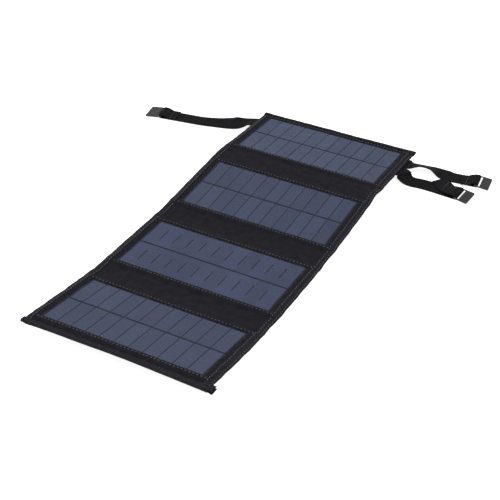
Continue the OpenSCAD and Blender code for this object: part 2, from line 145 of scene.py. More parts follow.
def ripples(u: Array, v: Array, waves: Sequence[tuple[float, float]], seed: int) -> Array:
    """A soft uneven pattern: a sum of sines along u whose phases wander with v.

    Args:
        u: the coordinate that the waves run along.
        v: the coordinate that bends them.
        waves: pairs of wavelength and share.
        seed: chooses the phases.

    Returns:
        Values of about -1 to 1, one for each pair of u and v.
    """
    draw = np.random.default_rng(seed)
    total = np.zeros(np.broadcast(u, v).shape)
    for length, share in waves:
        phase, bend, swell = draw.uniform(0.0, 2.0 * math.pi, 3)
        wander = 1.5 * np.sin(v * 29.0 + bend) + 0.8 * np.sin(v * 67.0 + swell)
        total = total + share * np.sin(2.0 * math.pi * u / length + phase + wander)
    return total


def catmull(rows: Array, steps: int) -> Array:
    """Catmull-Rom rows through the given ones.

    Args:
        rows: one row to a control point, with any number of columns.
        steps: rows made for each span.

    Returns:
        The smooth rows, the last control row included.
    """
    padded = np.vstack([rows[:1], rows, rows[-1:]])
    t = (np.arange(steps) / steps)[None, :, None]
    p0, p1, p2, p3 = (padded[k : k + len(rows) - 1, None, :] for k in range(4))
    spans = 0.5 * (
        2 * p1 + (p2 - p0) * t + (2 * p0 - 5 * p1 + 4 * p2 - p3) * t**2
        + (3 * p1 - p0 - 3 * p2 + p3) * t**3
    )
    return np.vstack([spans.reshape(-1, rows.shape[1]), rows[-1:]])


# -------------------------------------------------------------------- meshes


def grid_quads(rows: int, cols: int, wrap: bool = False) -> Array:
    """Faces of a grid of points in row-major order.

    Args:
        rows: points along the first parameter.
        cols: points along the second.
        wrap: joins the last column to the first.

    Returns:
        Quads, m by 4, whose normal is first parameter cross second.
    """
    i = np.arange(rows - 1)[:, None]
    j = np.arange(cols if wrap else cols - 1)[None, :]
    k = (j + 1) % cols
    corners = [i * cols + j, (i + 1) * cols + j, (i + 1) * cols + k, i * cols + k]
    return np.stack(np.broadcast_arrays(*corners), axis=-1).reshape(-1, 4)


def mesh_piece(name: str, points: Array, faces: Sequence[Array], uv: Optional[Array] = None) -> Piece:
    """Puts arrays into a new mesh object at the origin.

    Args:
        name: the object's name.
        points: vertices in the row frame, in any shape whose last axis is 3.
        faces: arrays of corner indices, m by k each, anticlockwise from outside.
        uv: one pair to a vertex, for a pattern that follows the surface.

    Returns:
        The linked object.
    """
    corners = np.concatenate([np.ravel(group) for group in faces]).astype(np.int32)
    counts = np.concatenate([np.full(len(group), group.shape[1]) for group in faces])
    starts = np.concatenate([[0], np.cumsum(counts)[:-1]]).astype(np.int32)
    vertices = np.reshape(points, (-1, 3)).astype(np.float32)
    mesh = bpy.data.meshes.new(name)
    mesh.vertices.add(len(vertices))
    mesh.vertices.foreach_set("co", vertices.ravel())
    mesh.loops.add(len(corners))
    mesh.loops.foreach_set("vertex_index", corners)
    mesh.polygons.add(len(counts))
    mesh.polygons.foreach_set("loop_start", starts)
    if uv is not None:
        layer = mesh.uv_layers.new(name="cloth")
        pairs = np.reshape(uv, (-1, 2))[corners].astype(np.float32)
        layer.data.foreach_set("uv", pairs.ravel())
    mesh.update(calc_edges=True)
    mesh.validate()
    piece = bpy.data.objects.new(name, mesh)
    bpy.context.scene.collection.objects.link(piece)
    return piece


def drop_unused(points: Array, faces: Array, uv: Array) -> tuple[Array, Array, Array]:
    """Leaves out the points that no face uses.

    Args:
        points: the vertices, n by 3.
        faces: corner indices, m by k.
        uv: one pair to a vertex.

    Returns:
        The points, faces and uv that are left.
    """
    used = np.unique(faces)
    order = np.zeros(len(points), int)
    order[used] = np.arange(len(used))
    return points[used], order[faces], uv[used]


def settle(piece: Piece, smooth_deg: float = 42.0) -> Piece:
    """Applies a piece's modifiers and shades it smooth below an angle.

    Args:
        piece: the object, at the origin.
        smooth_deg: edges sharper than this stay crisp.

    Returns:
        The same object with a plain final mesh.
    """
    if piece.modifiers:
        bpy.context.view_layer.update()
        seen = piece.evaluated_get(bpy.context.evaluated_depsgraph_get())
        final = bpy.data.meshes.new_from_object(seen)
        piece.modifiers.clear()
        old = piece.data
        piece.data = final
        bpy.data.meshes.remove(old)
    piece.data.polygons.foreach_set("use_smooth", np.ones(len(piece.data.polygons), bool))
    piece.data.set_sharp_from_angle(angle=math.radians(smooth_deg))
    return piece


def thicken(piece: Piece, depth: float) -> Piece:
    """Gives an open surface its thickness behind its face.

    Args:
        piece: the surface.
        depth: the thickness.

    Returns:
        The same object as a closed shell.
    """
    shell = piece.modifiers.new("thickness", "SOLIDIFY")
    shell.thickness = depth
    shell.offset = -1.0
    return settle(piece)


def stitch_piece(name: str, starts: Array, ends: Array, up: Array, radius: float) -> Piece:
    """Threads that each rise out of the cloth, run along it and dive back.

    A stitch is a short tube: its middle line is start + t (end - start), lifted
    by an arch 4 t (1 - t), and its radius swells with the same arch.

    Args:
        name: the object's name.
        starts: where each stitch begins, n by 3, on the cloth.
        ends: where it ends.
        up: the cloth's normal at each stitch.
        radius: the thread's radius.

    Returns:
        One mesh of n closed tubes.
    """
    stations, sides = 5, 6
    t = np.linspace(0.0, 1.0, stations)[None, :, None]
    arch = 4.0 * t * (1.0 - t)
    along = unit(ends - starts)[:, None, :]
    up = up[:, None, :]
    middle = starts[:, None, :] * (1 - t) + ends[:, None, :] * t
    middle = middle + up * radius * (1.3 * arch - 0.6)
    turn = np.linspace(0.0, 2.0 * math.pi, sides, endpoint=False)[None, None, :, None]
    across = np.cross(along, up)[:, :, None, :]
    swell = radius * (0.45 + 0.55 * arch)[:, :, None, :]
    ring = across * np.cos(turn) + up[:, :, None, :] * np.sin(turn)
    points = middle[:, :, None, :] + ring * swell
    tube = grid_quads(stations, sides, wrap=True)[:, ::-1]
    last = (stations - 1) * sides
    caps = np.array([[0, 1, 2, 3], [0, 3, 4, 5], [3, 2, 1, 0], [5, 4, 3, 0]])
    caps = caps + np.array([[0], [0], [last], [last]])
    first = np.arange(len(starts))[:, None, None] * stations * sides
    faces = (first + np.vstack([tube, caps])[None]).reshape(-1, 4)
    return settle(mesh_piece(name, points, [faces]), 80.0)


# ------------------------------------------------------------------ finishes


class Desk:
    """A material under construction, with short calls for the nodes that finishes share."""

    def __init__(self, name: str) -> None:
        """Starts a material with one Principled shader.

        Args:
            name: the material's name.
        """
        self.material = bpy.data.materials.new(name)
        self.material.use_nodes = True
        self.tree = self.material.node_tree
        self.shader = self.tree.nodes["Principled BSDF"]

    def feed(self, socket: Socket, value: Value) -> None:
        """Links a socket to another one, or sets its own value.

        Args:
            socket: the input.
            value: an output to link it to, or a plain value.
        """
        if isinstance(value, Socket):
            self.tree.links.new(value, socket)
        else:
            socket.default_value = value

    def surface(self, **sockets: Value) -> None:
        """Feeds the shader's sockets; a word's underscores stand for spaces."""
        for word, value in sockets.items():
            self.feed(self.shader.inputs[word.replace("_", " ")], value)

    def place(self) -> Socket:
        """Object coordinates, in metres in the row frame."""
        return self.tree.nodes.new("ShaderNodeTexCoord").outputs["Object"]

    def cloth(self) -> Socket:
        """The piece's own UV map, in metres across and along the cloth."""
        return self.tree.nodes.new("ShaderNodeTexCoord").outputs["UV"]

    def axes(self, vector: Socket) -> tuple[Socket, Socket, Socket]:
        """A vector's three numbers.

        Args:
            vector: the coordinates.

        Returns:
            Sockets of x, y and z.
        """
        node = self.tree.nodes.new("ShaderNodeSeparateXYZ")
        self.feed(node.inputs[0], vector)
        return node.outputs[0], node.outputs[1], node.outputs[2]

    def math(self, operation: str, a: Value, b: Value = 0.0, clamp: bool = False) -> Socket:
        """One arithmetic step.

        Args:
            operation: the Math node's operation.
            a: first number.
            b: second number, where the operation has one.
            clamp: keeps the result from 0 to 1.

        Returns:
            The result's socket.
        """
        node = self.tree.nodes.new("ShaderNodeMath")
        node.operation = operation
        node.use_clamp = clamp
        self.feed(node.inputs[0], a)
        self.feed(node.inputs[1], b)
        return node.outputs[0]

    def noise(self, vector: Socket, scale: float, detail: float = 2.0) -> Socket:
        """Cloudy noise from 0 to 1.

        Args:
            vector: where it is read.
            scale: clouds to a metre.
            detail: octaves of finer noise.

        Returns:
            The noise's value.
        """
        node = self.tree.nodes.new("ShaderNodeTexNoise")
        self.feed(node.inputs["Vector"], vector)
        self.feed(node.inputs["Scale"], scale)
        self.feed(node.inputs["Detail"], detail)
        return node.outputs["Fac"]

    def stretched(self, vector: Socket, scale: Sequence[float]) -> Socket:
        """A vector for a grain that runs one way.

        Args:
            vector: the coordinates.
            scale: what each axis is multiplied by.

        Returns:
            The new coordinates' socket.
        """
        node = self.tree.nodes.new("ShaderNodeMapping")
        self.feed(node.inputs["Vector"], vector)
        self.feed(node.inputs["Scale"], scale)
        return node.outputs[0]

    def tone(self, factor: Socket, dark: Sequence[float], light: Sequence[float]) -> Socket:
        """A colour between two, by factor.

        Args:
            factor: 0 for dark, 1 for light.
            dark: linear red, green and blue.
            light: linear red, green and blue.

        Returns:
            The colour's socket.
        """
        node = self.tree.nodes.new("ShaderNodeMix")
        node.data_type = "RGBA"
        self.feed(node.inputs[0], factor)
        self.feed(node.inputs[6], (*dark, 1.0))
        self.feed(node.inputs[7], (*light, 1.0))
        return node.outputs[2]

    def around(self, factor: Socket, colour: Sequence[float], spread: float) -> Socket:
        """A colour made darker or lighter by up to a share.

        Args:
            factor: 0 for the darkest, 1 for the lightest.
            colour: linear red, green and blue in the middle.
            spread: the share.

        Returns:
            The colour's socket.
        """
        dark = [part * (1.0 - spread) for part in colour]
        light = [part * (1.0 + spread) for part in colour]
        return self.tone(factor, dark, light)

    def swing(self, noise: Socket, reach: float) -> Socket:
        """A noise value moved to lie about 0 and made as large as reach."""
        return self.math("MULTIPLY", self.math("SUBTRACT", noise, 0.5), reach)

    def scaled(self, colour: Socket, share: Socket) -> Socket:
        """A colour multiplied by a share.

        Args:
            colour: the colour.
            share: 0 for black, 1 for the colour itself.

        Returns:
            The new colour's socket.
        """
        node = self.tree.nodes.new("ShaderNodeVectorMath")
        node.operation = "SCALE"
        self.feed(node.inputs[0], colour)
        self.feed(node.inputs["Scale"], share)
        return node.outputs[0]

    def wave(self, value: Socket, pitch: float) -> Socket:
        """Sine of a coordinate, one period to a pitch, from 0 to 1."""
        angle = self.math("MULTIPLY", value, 2.0 * math.pi / pitch)
        return self.math("ADD", self.math("MULTIPLY", self.math("SINE", angle), 0.5), 0.5)

    def bump(self, height: Socket, distance: float, strength: float = 1.0) -> None:
        """Relief on the shader's normal.

        Args:
            height: 0 to 1.
            distance: height in metres that 1 stands for.
            strength: share of the relief that shows.
        """
        node = self.tree.nodes.new("ShaderNodeBump")
        self.feed(node.inputs["Height"], height)
        self.feed(node.inputs["Distance"], distance)
        self.feed(node.inputs["Strength"], strength)
        self.feed(self.shader.inputs["Normal"], node.outputs[0])


@dataclass(frozen=True)
class ClothFinish:
    """Woven polyester with a dull nap, darker between its yarns, with soft clouds of uneven tone and painted
    sheen.
    """

    name: str
    colour: tuple[float, float, float]
    patch: float = 0.35
    yarn: float = 0.62 * MM
    yarn_share: float = 0.8
    slub_share: float = 0.5
    tone_and_sheen_share: float = 1.6
    slub_rise: float = 0.7
    relief: float = 0.10 * MM

    def material(self) -> bpy.types.Material:
        """A plain weave on the cloth's own coordinates.

        Returns:
            A material whose yarns cross as the product of two sines.
        """
        desk = Desk(self.name)
        across, along, _ = desk.axes(desk.cloth())
        weave = desk.math("MULTIPLY", desk.wave(across, self.yarn), desk.wave(along, self.yarn))
        # clouds about a centimetre across: partly uneven tone of the cloth, partly painted sheen
        clouds = desk.noise(desk.cloth(), 95.0, 4.0)
        slubs = desk.noise(desk.cloth(), 900.0, 1.0)
        yarns = desk.math("MULTIPLY", weave, self.yarn_share)
        light = desk.math("ADD", yarns, desk.math("MULTIPLY", slubs, self.slub_share))
        light = desk.math("ADD", light, desk.swing(clouds, self.tone_and_sheen_share))
        desk.surface(
            Base_Color=desk.around(light, self.colour, self.patch), Roughness=0.9,
            Specular_IOR_Level=0.04, Sheen_Weight=0.02, Sheen_Roughness=0.6,
        )
        desk.bump(desk.math("ADD", weave, desk.math("MULTIPLY", slubs, self.slub_rise)), self.relief)
        return desk.material


@dataclass(frozen=True)
class RibbedFinish:
    """Woven tape or webbing: ribs straight across it and a fine weave between."""

    name: str
    colour: tuple[float, float, float]
    rib: float = 1.1 * MM
    relief: float = 0.16 * MM
    contrast: float = 0.35
    yarn_share: float = 0.4
    wear_share: float = 1.1

    def material(self) -> bpy.types.Material:
        """Ribs along the tape's own length.

        Returns:
            A material whose second coordinate runs along the tape.
        """
        desk = Desk(self.name)
        across, along, _ = desk.axes(desk.cloth())
        ribs = desk.wave(along, self.rib)
        yarns = desk.math("MULTIPLY", desk.wave(across, self.rib * 0.6), self.yarn_share)
        wear = desk.noise(desk.cloth(), 130.0, 3.0)
        shade = desk.math("MULTIPLY", ribs, desk.math("ADD", yarns, 1.0 - self.yarn_share))
        shade = desk.math("ADD", shade, desk.swing(wear, self.wear_share))
        desk.surface(
            Base_Color=desk.around(shade, self.colour, self.contrast), Roughness=0.82,
            Specular_IOR_Level=0.06, Sheen_Weight=0.02, Sheen_Roughness=0.6,
        )
        desk.bump(shade, self.relief)
        return desk.material


@dataclass(frozen=True)
class ThreadFinish:
    """Twisted sewing thread, given a grey well above its own dark charcoal as painted highlight, so lighter
    than the cloth.
    """

    name: str
    colour: tuple[float, float, float]
    highlight_lift: float = 1.7

    def material(self) -> bpy.types.Material:
        """Thread with fine random specks of painted highlight along it.

        Returns:
            A material lifted towards a lighter grey in random specks, as painted highlight.
        """
        desk = Desk(self.name)
        # random specks lifted towards a lighter grey: painted highlight on the thread
        highlight_specks = desk.noise(desk.place(), 700.0, 2.0)
        light = [part * self.highlight_lift for part in self.colour]
        desk.surface(
            Base_Color=desk.tone(highlight_specks, self.colour, light), Roughness=0.7, Specular_IOR_Level=0.2,
        )
        desk.bump(desk.noise(desk.place(), 3500.0, 1.0), 0.05 * MM)
        return desk.material


@dataclass(frozen=True)
class CellFinish:
    """Cut silicon cells under a coating: one shade to a cell, dark lines between columns."""

    name: str
    colour: tuple[float, float, float]
    middle: float
    step: float
    dashed: bool = False
    spread: float = 0.12
    grain_share: float = 0.15
    line: float = 1.6 * MM
    line_level: float = 0.965
    line_share: float = 0.5
    joint_w: float = 0.85 * MM
    joint_light: float = 0.48
    dash_light: float = 0.30
    row_middle: float = 27.5 * MM
    dash_half: float = 12.5 * MM

    def material(self) -> bpy.types.Material:
        """Silicon on Object coordinates.

        Returns:
            A material whose shade is set cell by cell and darkened at the joints.
        """
        desk = Desk(self.name)
        x, y, _ = desk.axes(desk.place())
        places = desk.math("ADD", desk.math("DIVIDE", x, self.step), 0.5)
        grain = desk.noise(desk.stretched(desk.place(), (1.0, 0.15, 1.0)), 420.0, 3.0)
        shade = desk.math("ADD", self.cell_shade(desk, places, y), desk.swing(grain, self.grain_share))
        printed = desk.math("GREATER_THAN", desk.wave(y, self.line), self.line_level)
        shade = desk.math("ADD", shade, desk.math("MULTIPLY", printed, self.line_share))
        silicon = desk.scaled(desk.around(shade, self.colour, self.spread), self.joints(desk, places, y))
        desk.surface(Base_Color=silicon, Roughness=0.5, Specular_IOR_Level=0.12)
        desk.bump(grain, 0.003 * MM)
        return desk.material

    def cell_shade(self, desk: Desk, places: Socket, y: Socket) -> Socket:
        """One random shade to each cell, with soft clouds over it.

        Args:
            desk: the material under construction.
            places: how far across the panel a point is, counted in cells.
            y: the point's place along the row.

        Returns:
            About 0 to 1.
        """
        row = desk.math("GREATER_THAN", y, self.middle)
        number = desk.math("ADD", desk.math("MULTIPLY", row, 17.3), desk.math("FLOOR", places))
        cell = desk.tree.nodes.new("ShaderNodeTexWhiteNoise")
        cell.noise_dimensions = "1D"
        desk.feed(cell.inputs["W"], desk.math("ADD", number, self.middle * 100.0))
        clouds = desk.noise(desk.place(), 28.0, 2.0)
        return desk.math("ADD", cell.outputs["Value"], desk.swing(clouds, 1.0))

    def joints(self, desk: Desk, places: Socket, y: Socket) -> Socket:
        """How light the silicon is near the joint of two columns.

        A joint is a line as long as the cells, or a short dash over the middle
        of each row.

        Args:
            desk: the material under construction.
            places: how far across the panel a point is, counted in cells.
            y: the point's place along the row.

        Returns:
            1 away from the joints and less on them.
        """
        share = desk.math("FRACT", places)
        near = desk.math("MINIMUM", share, desk.math("SUBTRACT", 1.0, share))
        joint = desk.math("LESS_THAN", desk.math("MULTIPLY", near, self.step), self.joint_w)
        if self.dashed:
            off = desk.math("ABSOLUTE", desk.math("SUBTRACT", y, self.middle))
            off = desk.math("ABSOLUTE", desk.math("SUBTRACT", off, self.row_middle))
            joint = desk.math("MULTIPLY", joint, desk.math("LESS_THAN", off, self.dash_half))
        loss = 1.0 - (self.dash_light if self.dashed else self.joint_light)
        return desk.math("SUBTRACT", 1.0, desk.math("MULTIPLY", joint, loss))


@dataclass(frozen=True)
class LaminateFinish:
    """Frosted clear sheet that lays a pale haze over what is under it, with pale diagonal bands of painted
    reflection.
    """

    name: str
    colour: tuple[float, float, float]
    haze: float
    reflection_share: float
    rough: float = 0.40

    def material(self) -> bpy.types.Material:
        """Even frosted haze, with soft diagonal bands of painted reflection in it.

        Returns:
            A partly transparent material with a fine pebbled gloss.
        """
        desk = Desk(self.name)
        grain = desk.stretched(desk.place(), (1.0, 0.45, 1.0))
        # pale diagonal bands in the sheet's alpha: painted reflection off the crinkles, over the even
        # frosted haze
        reflection_bands = desk.noise(grain, 38.0, 3.0)
        alpha = desk.math("ADD", desk.swing(reflection_bands, self.reflection_share), self.haze, clamp=True)
        pebbles = desk.noise(desk.place(), 1300.0, 1.0)
        desk.surface(
            Base_Color=(*self.colour, 1.0), Alpha=alpha, Specular_IOR_Level=0.3,
            Roughness=desk.math("ADD", desk.swing(pebbles, 0.1), self.rough),
        )
        desk.bump(pebbles, 0.001 * MM)
        return desk.material


@dataclass(frozen=True)
class MouldedFinish:
    """Moulded or machined stock with a fine grain: plastic, board, ferrite or metal."""

    name: str
    colour: tuple[float, float, float]
    rough: float = 0.5
    metal: float = 0.0
    grain: float = 900.0
    relief: float = 0.03 * MM
    spread: float = 0.15
    shine: float = 0.4

    def material(self) -> bpy.types.Material:
        """Grain in colour, gloss and relief.

        Returns:
            A material on Object coordinates.
        """
        desk = Desk(self.name)
        grain = desk.noise(desk.place(), self.grain, 2.0)
        clouds = desk.noise(desk.place(), 60.0, 3.0)
        desk.surface(
            Base_Color=desk.around(clouds, self.colour, self.spread), Metallic=self.metal,
            Specular_IOR_Level=self.shine, Roughness=desk.math("ADD", desk.swing(grain, 0.16), self.rough),
        )
        desk.bump(grain, self.relief)
        return desk.material


@dataclass(frozen=True)
class CircuitFinish:
    """Green circuit board with pale tracks and tinned pads."""

    name: str
    mask: tuple[float, float, float]
    track: tuple[float, float, float]
    pitch: float = 2.4 * MM

    def material(self) -> bpy.types.Material:
        """Tracks where two coordinates' waves cross a level.

        Returns:
            A glossy material with a relief of tracks.
        """
        desk = Desk(self.name)
        x, y, _ = desk.axes(desk.place())
        wander = desk.math("MULTIPLY", desk.noise(desk.place(), 240.0, 0.0), 2.0 * self.pitch)
        lines = desk.wave(desk.math("ADD", x, wander), self.pitch)
        pads = desk.math("MULTIPLY", desk.wave(x, self.pitch), desk.wave(y, self.pitch))
        track, pad = desk.math("GREATER_THAN", lines, 0.8), desk.math("GREATER_THAN", pads, 0.86)
        shown = desk.math("MAXIMUM", track, pad)
        desk.surface(Base_Color=desk.tone(shown, self.mask, self.track), Roughness=0.3)
        desk.bump(shown, 0.04 * MM)
        return desk.material


class Finishes:
    """Every material of the charger, made once and shared."""

    def __init__(self) -> None:
        """Builds the materials that more than one sub-assembly uses."""
        self.cloth = ClothFinish("woven_cloth", (0.0166, 0.0160, 0.0216)).material()
        self.cover = ClothFinish("back_cloth", (0.0145, 0.0140, 0.0155), patch=0.3).material()
        self.tape = RibbedFinish("edge_tape", (0.0215, 0.0205, 0.0270), contrast=0.5).material()
        self.webbing = RibbedFinish("strap_webbing", (0.0100, 0.0095, 0.0110), 1.5 * MM, 0.3 * MM).material()
        # thread grey: its own dark charcoal lifted further as painted highlight
        self.thread = ThreadFinish("thread_painted_highlight", (0.15, 0.146, 0.17)).material()
        self.board = MouldedFinish("panel_board", (0.010, 0.012, 0.021), 0.85, shine=0.05).material()
        self.copper = MouldedFinish("copper_ribbon", (0.62, 0.31, 0.16), 0.32, 1.0, 400.0).material()
        self.case = MouldedFinish("case_shell", (0.020, 0.020, 0.022), 0.48).material()
        self.hook = MouldedFinish("hook_moulding", (0.030, 0.029, 0.034), 0.45).material()
        self.ferrite = MouldedFinish("choke_body", (0.040, 0.038, 0.036), 0.62, 0.0, 1500.0).material()
        self.steel = MouldedFinish("plated_shell", (0.62, 0.63, 0.65), 0.28, 1.0, 500.0).material()
        self.lens = MouldedFinish("red_lens", (0.52, 0.03, 0.02), 0.18, 0.0, 300.0).material()
        self.circuit = CircuitFinish("solder_mask", (0.015, 0.10, 0.045), (0.06, 0.24, 0.10)).material()


# --------------------------------------------------------------------- strip


def node_points(node: str) -> Array:
    """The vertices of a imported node.

    Args:
        node: its name.

    Returns:
        Its distinct points, to a micrometre, n by 3.
    """
    mesh = frame["nodes"][node].data
    flat = np.zeros(3 * len(mesh.vertices), np.float32)
    mesh.vertices.foreach_get("co", flat)
    return np.unique(np.round(flat.reshape(-1, 3).astype(float), 6), axis=0)


def dress(material: bpy.types.Material, *nodes: str) -> None:
    """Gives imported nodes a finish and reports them.

    Args:
        material: the finish.
        nodes: their names.
    """
    for node in nodes:
        data = frame["nodes"][node].data
        data.materials.clear()
        data.materials.append(material)
        LOG.info("dressed %s in %s", node, material.name)


def finish_piece(piece: Piece, material: bpy.types.Material) -> Piece:
    """Gives a new piece its finish, and reports it.

    Args:
        piece: the new piece.
        material: its material.

    Returns:
        The same piece.
    """
    piece.data.materials.clear()
    piece.data.materials.append(material)
    LOG.info("built %s: %d faces", piece.name, len(piece.data.polygons))
    return piece


@dataclass(frozen=True)
class Panel:
    """Where one panel lies: its number, its middle on the strip and in the frame, its slope."""

    number: int
    along: float
    middle: tuple[float, float]
    slope: float

    def place(self, x: Array, s: Array, h: Array) -> Array:
        """Strip points carried by this panel alone.

        Args:
            x: across.
            s: along the strip.
            h: out of the face.

        Returns:
            middle + (s - along) along the slope + h across it, in the frame.
        """
        run, rise = math.cos(self.slope), math.sin(self.slope)
        y = self.middle[0] + (s - self.along) * run - h * rise
        z = self.middle[1] + (s - self.along) * rise + h * run
        return np.stack([x + 0.0 * y, y, z], axis=-1)


@dataclass
class Blanket:
    """The strip's sizes, and its shape as it lies opened out."""

    cover: float = 1.3 * MM
    board: float = 2.0 * MM
    sheet: float = 0.8 * MM
    fabric: float = 0.7 * MM
    tape: float = 0.55 * MM
    tape_w: float = 9.0 * MM
    crease: float = 3.0 * MM
    margin_x: float = 3.2 * MM
    margin_y: float = 2.1 * MM
    bend: float = 9.0 * MM
    corner: float = 4.0 * MM
    pinch: float = 1.2 * MM
    pinch_w: float = 13.0 * MM
    wobble: float = 0.35 * MM
    flare: float = 4.7 * MM
    hollow: float = 1.4 * MM
    round_off: float = 2.2 * MM
    round_reach: float = 9.0 * MM
    sway: float = 0.5 * MM
    sway_turn: float = 52.0
    run_left: float = 0.6 * MM
    run_right: float = 3.2 * MM
    left_spread: tuple[float, ...] = (0.4, 1.2, 2.6, 2.8, 2.9, 2.8, 2.2, 0.9, 0.5)
    right_spread: tuple[float, ...] = (2.6, 3.0, 1.6, 1.5, 1.2, 1.4, 1.0, 0.3, 0.0)
    panels: dict[int, Panel] = field(default_factory=dict)

    def __post_init__(self) -> None:
        """Reads the panels' places and the strip's outline from the frame."""
        low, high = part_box("side_binding_3")
        self.pitch = high.y - low.y + 2.0 * self.crease
        for number, turns in ((4, -1), (3, 0), (2, 1), (1, 2)):
            self.panels[number] = self.find_panel(number, turns * self.pitch)
        board = node_points("backing_board_3")
        cells = node_points("solar_cells_3")
        self.board_x, self.board_y = board[:, 0].max(), board[:, 1].max()
        self.win_x = cells[:, 0].max() + self.margin_x
        self.win_y = cells[:, 1].max() + self.margin_y
        self.half_w = node_points("near_hem")[:, 0].max()
        self.near = self.reach(4, "near_hem").min()
        self.far = self.reach(1, "far_hem").max()
        self.flange = self.cover + self.fabric
        self.top = self.cover + self.board + self.sheet + self.fabric
        LOG.info("strip: %.4f wide, from %.4f to %.4f", 2 * self.half_w, self.near, self.far)

    def find_panel(self, number: int, along: float) -> Panel:
        """A panel's place and slope, from its backing board's two end faces.

        Args:
            number: the panel's number.
            along: its middle on the strip.

        Returns:
            The panel.
        """
        points = node_points(f"backing_board_{number}")[:, 1:]
        middle = (points.min(axis=0) + points.max(axis=0)) / 2.0
        far = points[points[:, 0] > middle[0]].mean(axis=0)
        near = points[points[:, 0] < middle[0]].mean(axis=0)
        run, rise = unit(far - near)
        back = (far + near) / 2.0 - (self.cover + self.board / 2.0) * np.array([-rise, run])
        return Panel(number, along, (back[0], back[1]), math.atan2(rise, run))

    def reach(self, number: int, node: str) -> Array:
        """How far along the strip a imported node's points lie.

        Args:
            number: the panel whose slope they follow.
            node: the node's name.

        Returns:
            One distance to a point.
        """
        panel = self.panels[number]
        points = node_points(node)[:, 1:] - np.array(panel.middle)
        return panel.along + points @ np.array([math.cos(panel.slope), math.sin(panel.slope)])

    @property
    def folds(self) -> tuple[float, float, float]:
        """The fold lines 4-3, 3-2 and 2-1 along the strip."""
        return -0.5 * self.pitch, 0.5 * self.pitch, 1.5 * self.pitch

    def warp(self, x: Array, s: Array) -> tuple[Array, Array]:
        """The strip's uneven outline.

        The margins spread outwards by an amount given every half pitch, and
        the right one draws in at each fold as a bell curve. The near edge sags
        back between its corners as 1 - |x / half width|^3, its left corner is
        rounded off, and the far edge runs out towards its right corner.

        Args:
            x: across, as cut.
            s: along, as cut.

        Returns:
            Across and along, as it lies.
        """
        across = x / self.half_w
        bell = sum(np.exp(-(((s - fold) / self.pinch_w) ** 2)) for fold in self.folds)
        halves = s / self.pitch * 2.0 + 3.0
        spread = eased(halves, self.right_spread) * (x > 0.0) - eased(halves, self.left_spread) * (x < 0.0)
        drawn = x + spread * MM * ramp(np.abs(x), self.win_x, self.half_w)
        drawn = drawn - np.maximum(across, 0.0) ** 2 * self.pinch * bell
        drawn = drawn + self.wobble * ripples(s, 0 * x, ((0.041, 0.6), (0.023, 0.4)), 5) * across**3
        sag = (self.flare * (1.0 - np.abs(across) ** 3) - self.hollow) * 0.9
        sag = sag + self.round_off * ramp(-x, self.half_w - self.round_reach, self.half_w)
        sag = sag + self.sway * np.sin(x * self.sway_turn + 0.8)
        sag = sag * ramp(-s, self.pitch + self.board_y + 2.0 * MM, -self.near)
        run_out = self.run_left + (self.run_right - self.run_left) * ramp(x, -self.half_w, self.half_w)
        return drawn, s + sag + run_out * ramp(s, 2.0 * self.pitch + self.board_y, self.far)

    def place(self, x: Array, s: Array, h: Array) -> Array:
        """Strip points in the row frame.

        Each panel carries its own stretch, and the two stretches at a fold are
        mixed by a ramp as wide as the bend.

        Args:
            x: across.
            s: along the strip.
            h: out of the face, from the back.

        Returns:
            Points, with a last axis of 3.
        """
        x, s, h = np.broadcast_arrays(x, s, h)
        x, s = self.warp(x, s)
        points = self.panels[4].place(x, s, h)
        for number, fold in zip((3, 2, 1), self.folds):
            share = ramp(s, fold - self.bend, fold + self.bend)[..., None]
            points = points * (1.0 - share) + self.panels[number].place(x, s, h) * share
        return points

    def outward(self, x: Array, s: Array) -> Array:
        """The face's normal at strip points."""
        return unit(self.place(x, s, 0.0 * x + MM) - self.place(x, s, 0.0 * x))

    def off_board(self, x: Array, s: Array) -> Array:
        """How far strip points lie outside the boards.

        Args:
            x: across.
            s: along the strip.

        Returns:
            Distance outside the nearest board's round-cornered outline.
        """
        found = []
        for panel in self.panels.values():
            dx = np.abs(x) - (self.board_x - self.corner)
            ds = np.abs(s - panel.along) - (self.board_y - self.corner)
            outer = np.hypot(np.maximum(dx, 0.0), np.maximum(ds, 0.0))
            found.append(outer + np.minimum(np.maximum(dx, ds), 0.0) - self.corner)
        return np.minimum.reduce(found)

    def skin(self, x: Array, s: Array) -> Array:
        """Height of the front fabric's face.

        It lies on the boards, slopes down past their edges and is flat and
        wrinkled between them.

        Args:
            x: across.
            s: along the strip.

        Returns:
            Heights from the back.
        """
        away = self.off_board(x, s)
        height = self.top - (self.top - self.flange) * ramp(away, -0.8 * MM, 5.2 * MM)
        loose = ramp(away, 1.5 * MM, 9.0 * MM)
        folds = ripples(s, x, ((0.0135, 0.5), (0.0082, 0.3), (0.021, 0.3)), 11)
        pulls = ripples(x, s, ((0.031, 0.5), (0.017, 0.35), (0.011, 0.25)), 23)
        height = height + loose * MM * (0.42 * folds + 0.30 * pulls + 0.25)
        tight = 0.10 * MM * ripples(x, s, ((0.019, 0.6), (0.0115, 0.4)), 31)
        return height + ramp(away, -5.5 * MM, -1.0 * MM) * (1.0 - loose) * tight


@dataclass(frozen=True)
class Span:
    """One length of the strip, cut at panel middles, and what carries it."""

    name: str
    start: float
    end: float
    bodies: tuple[str, ...]
    panel: int
    fold: float = 0.0
    reach: float = 0.0


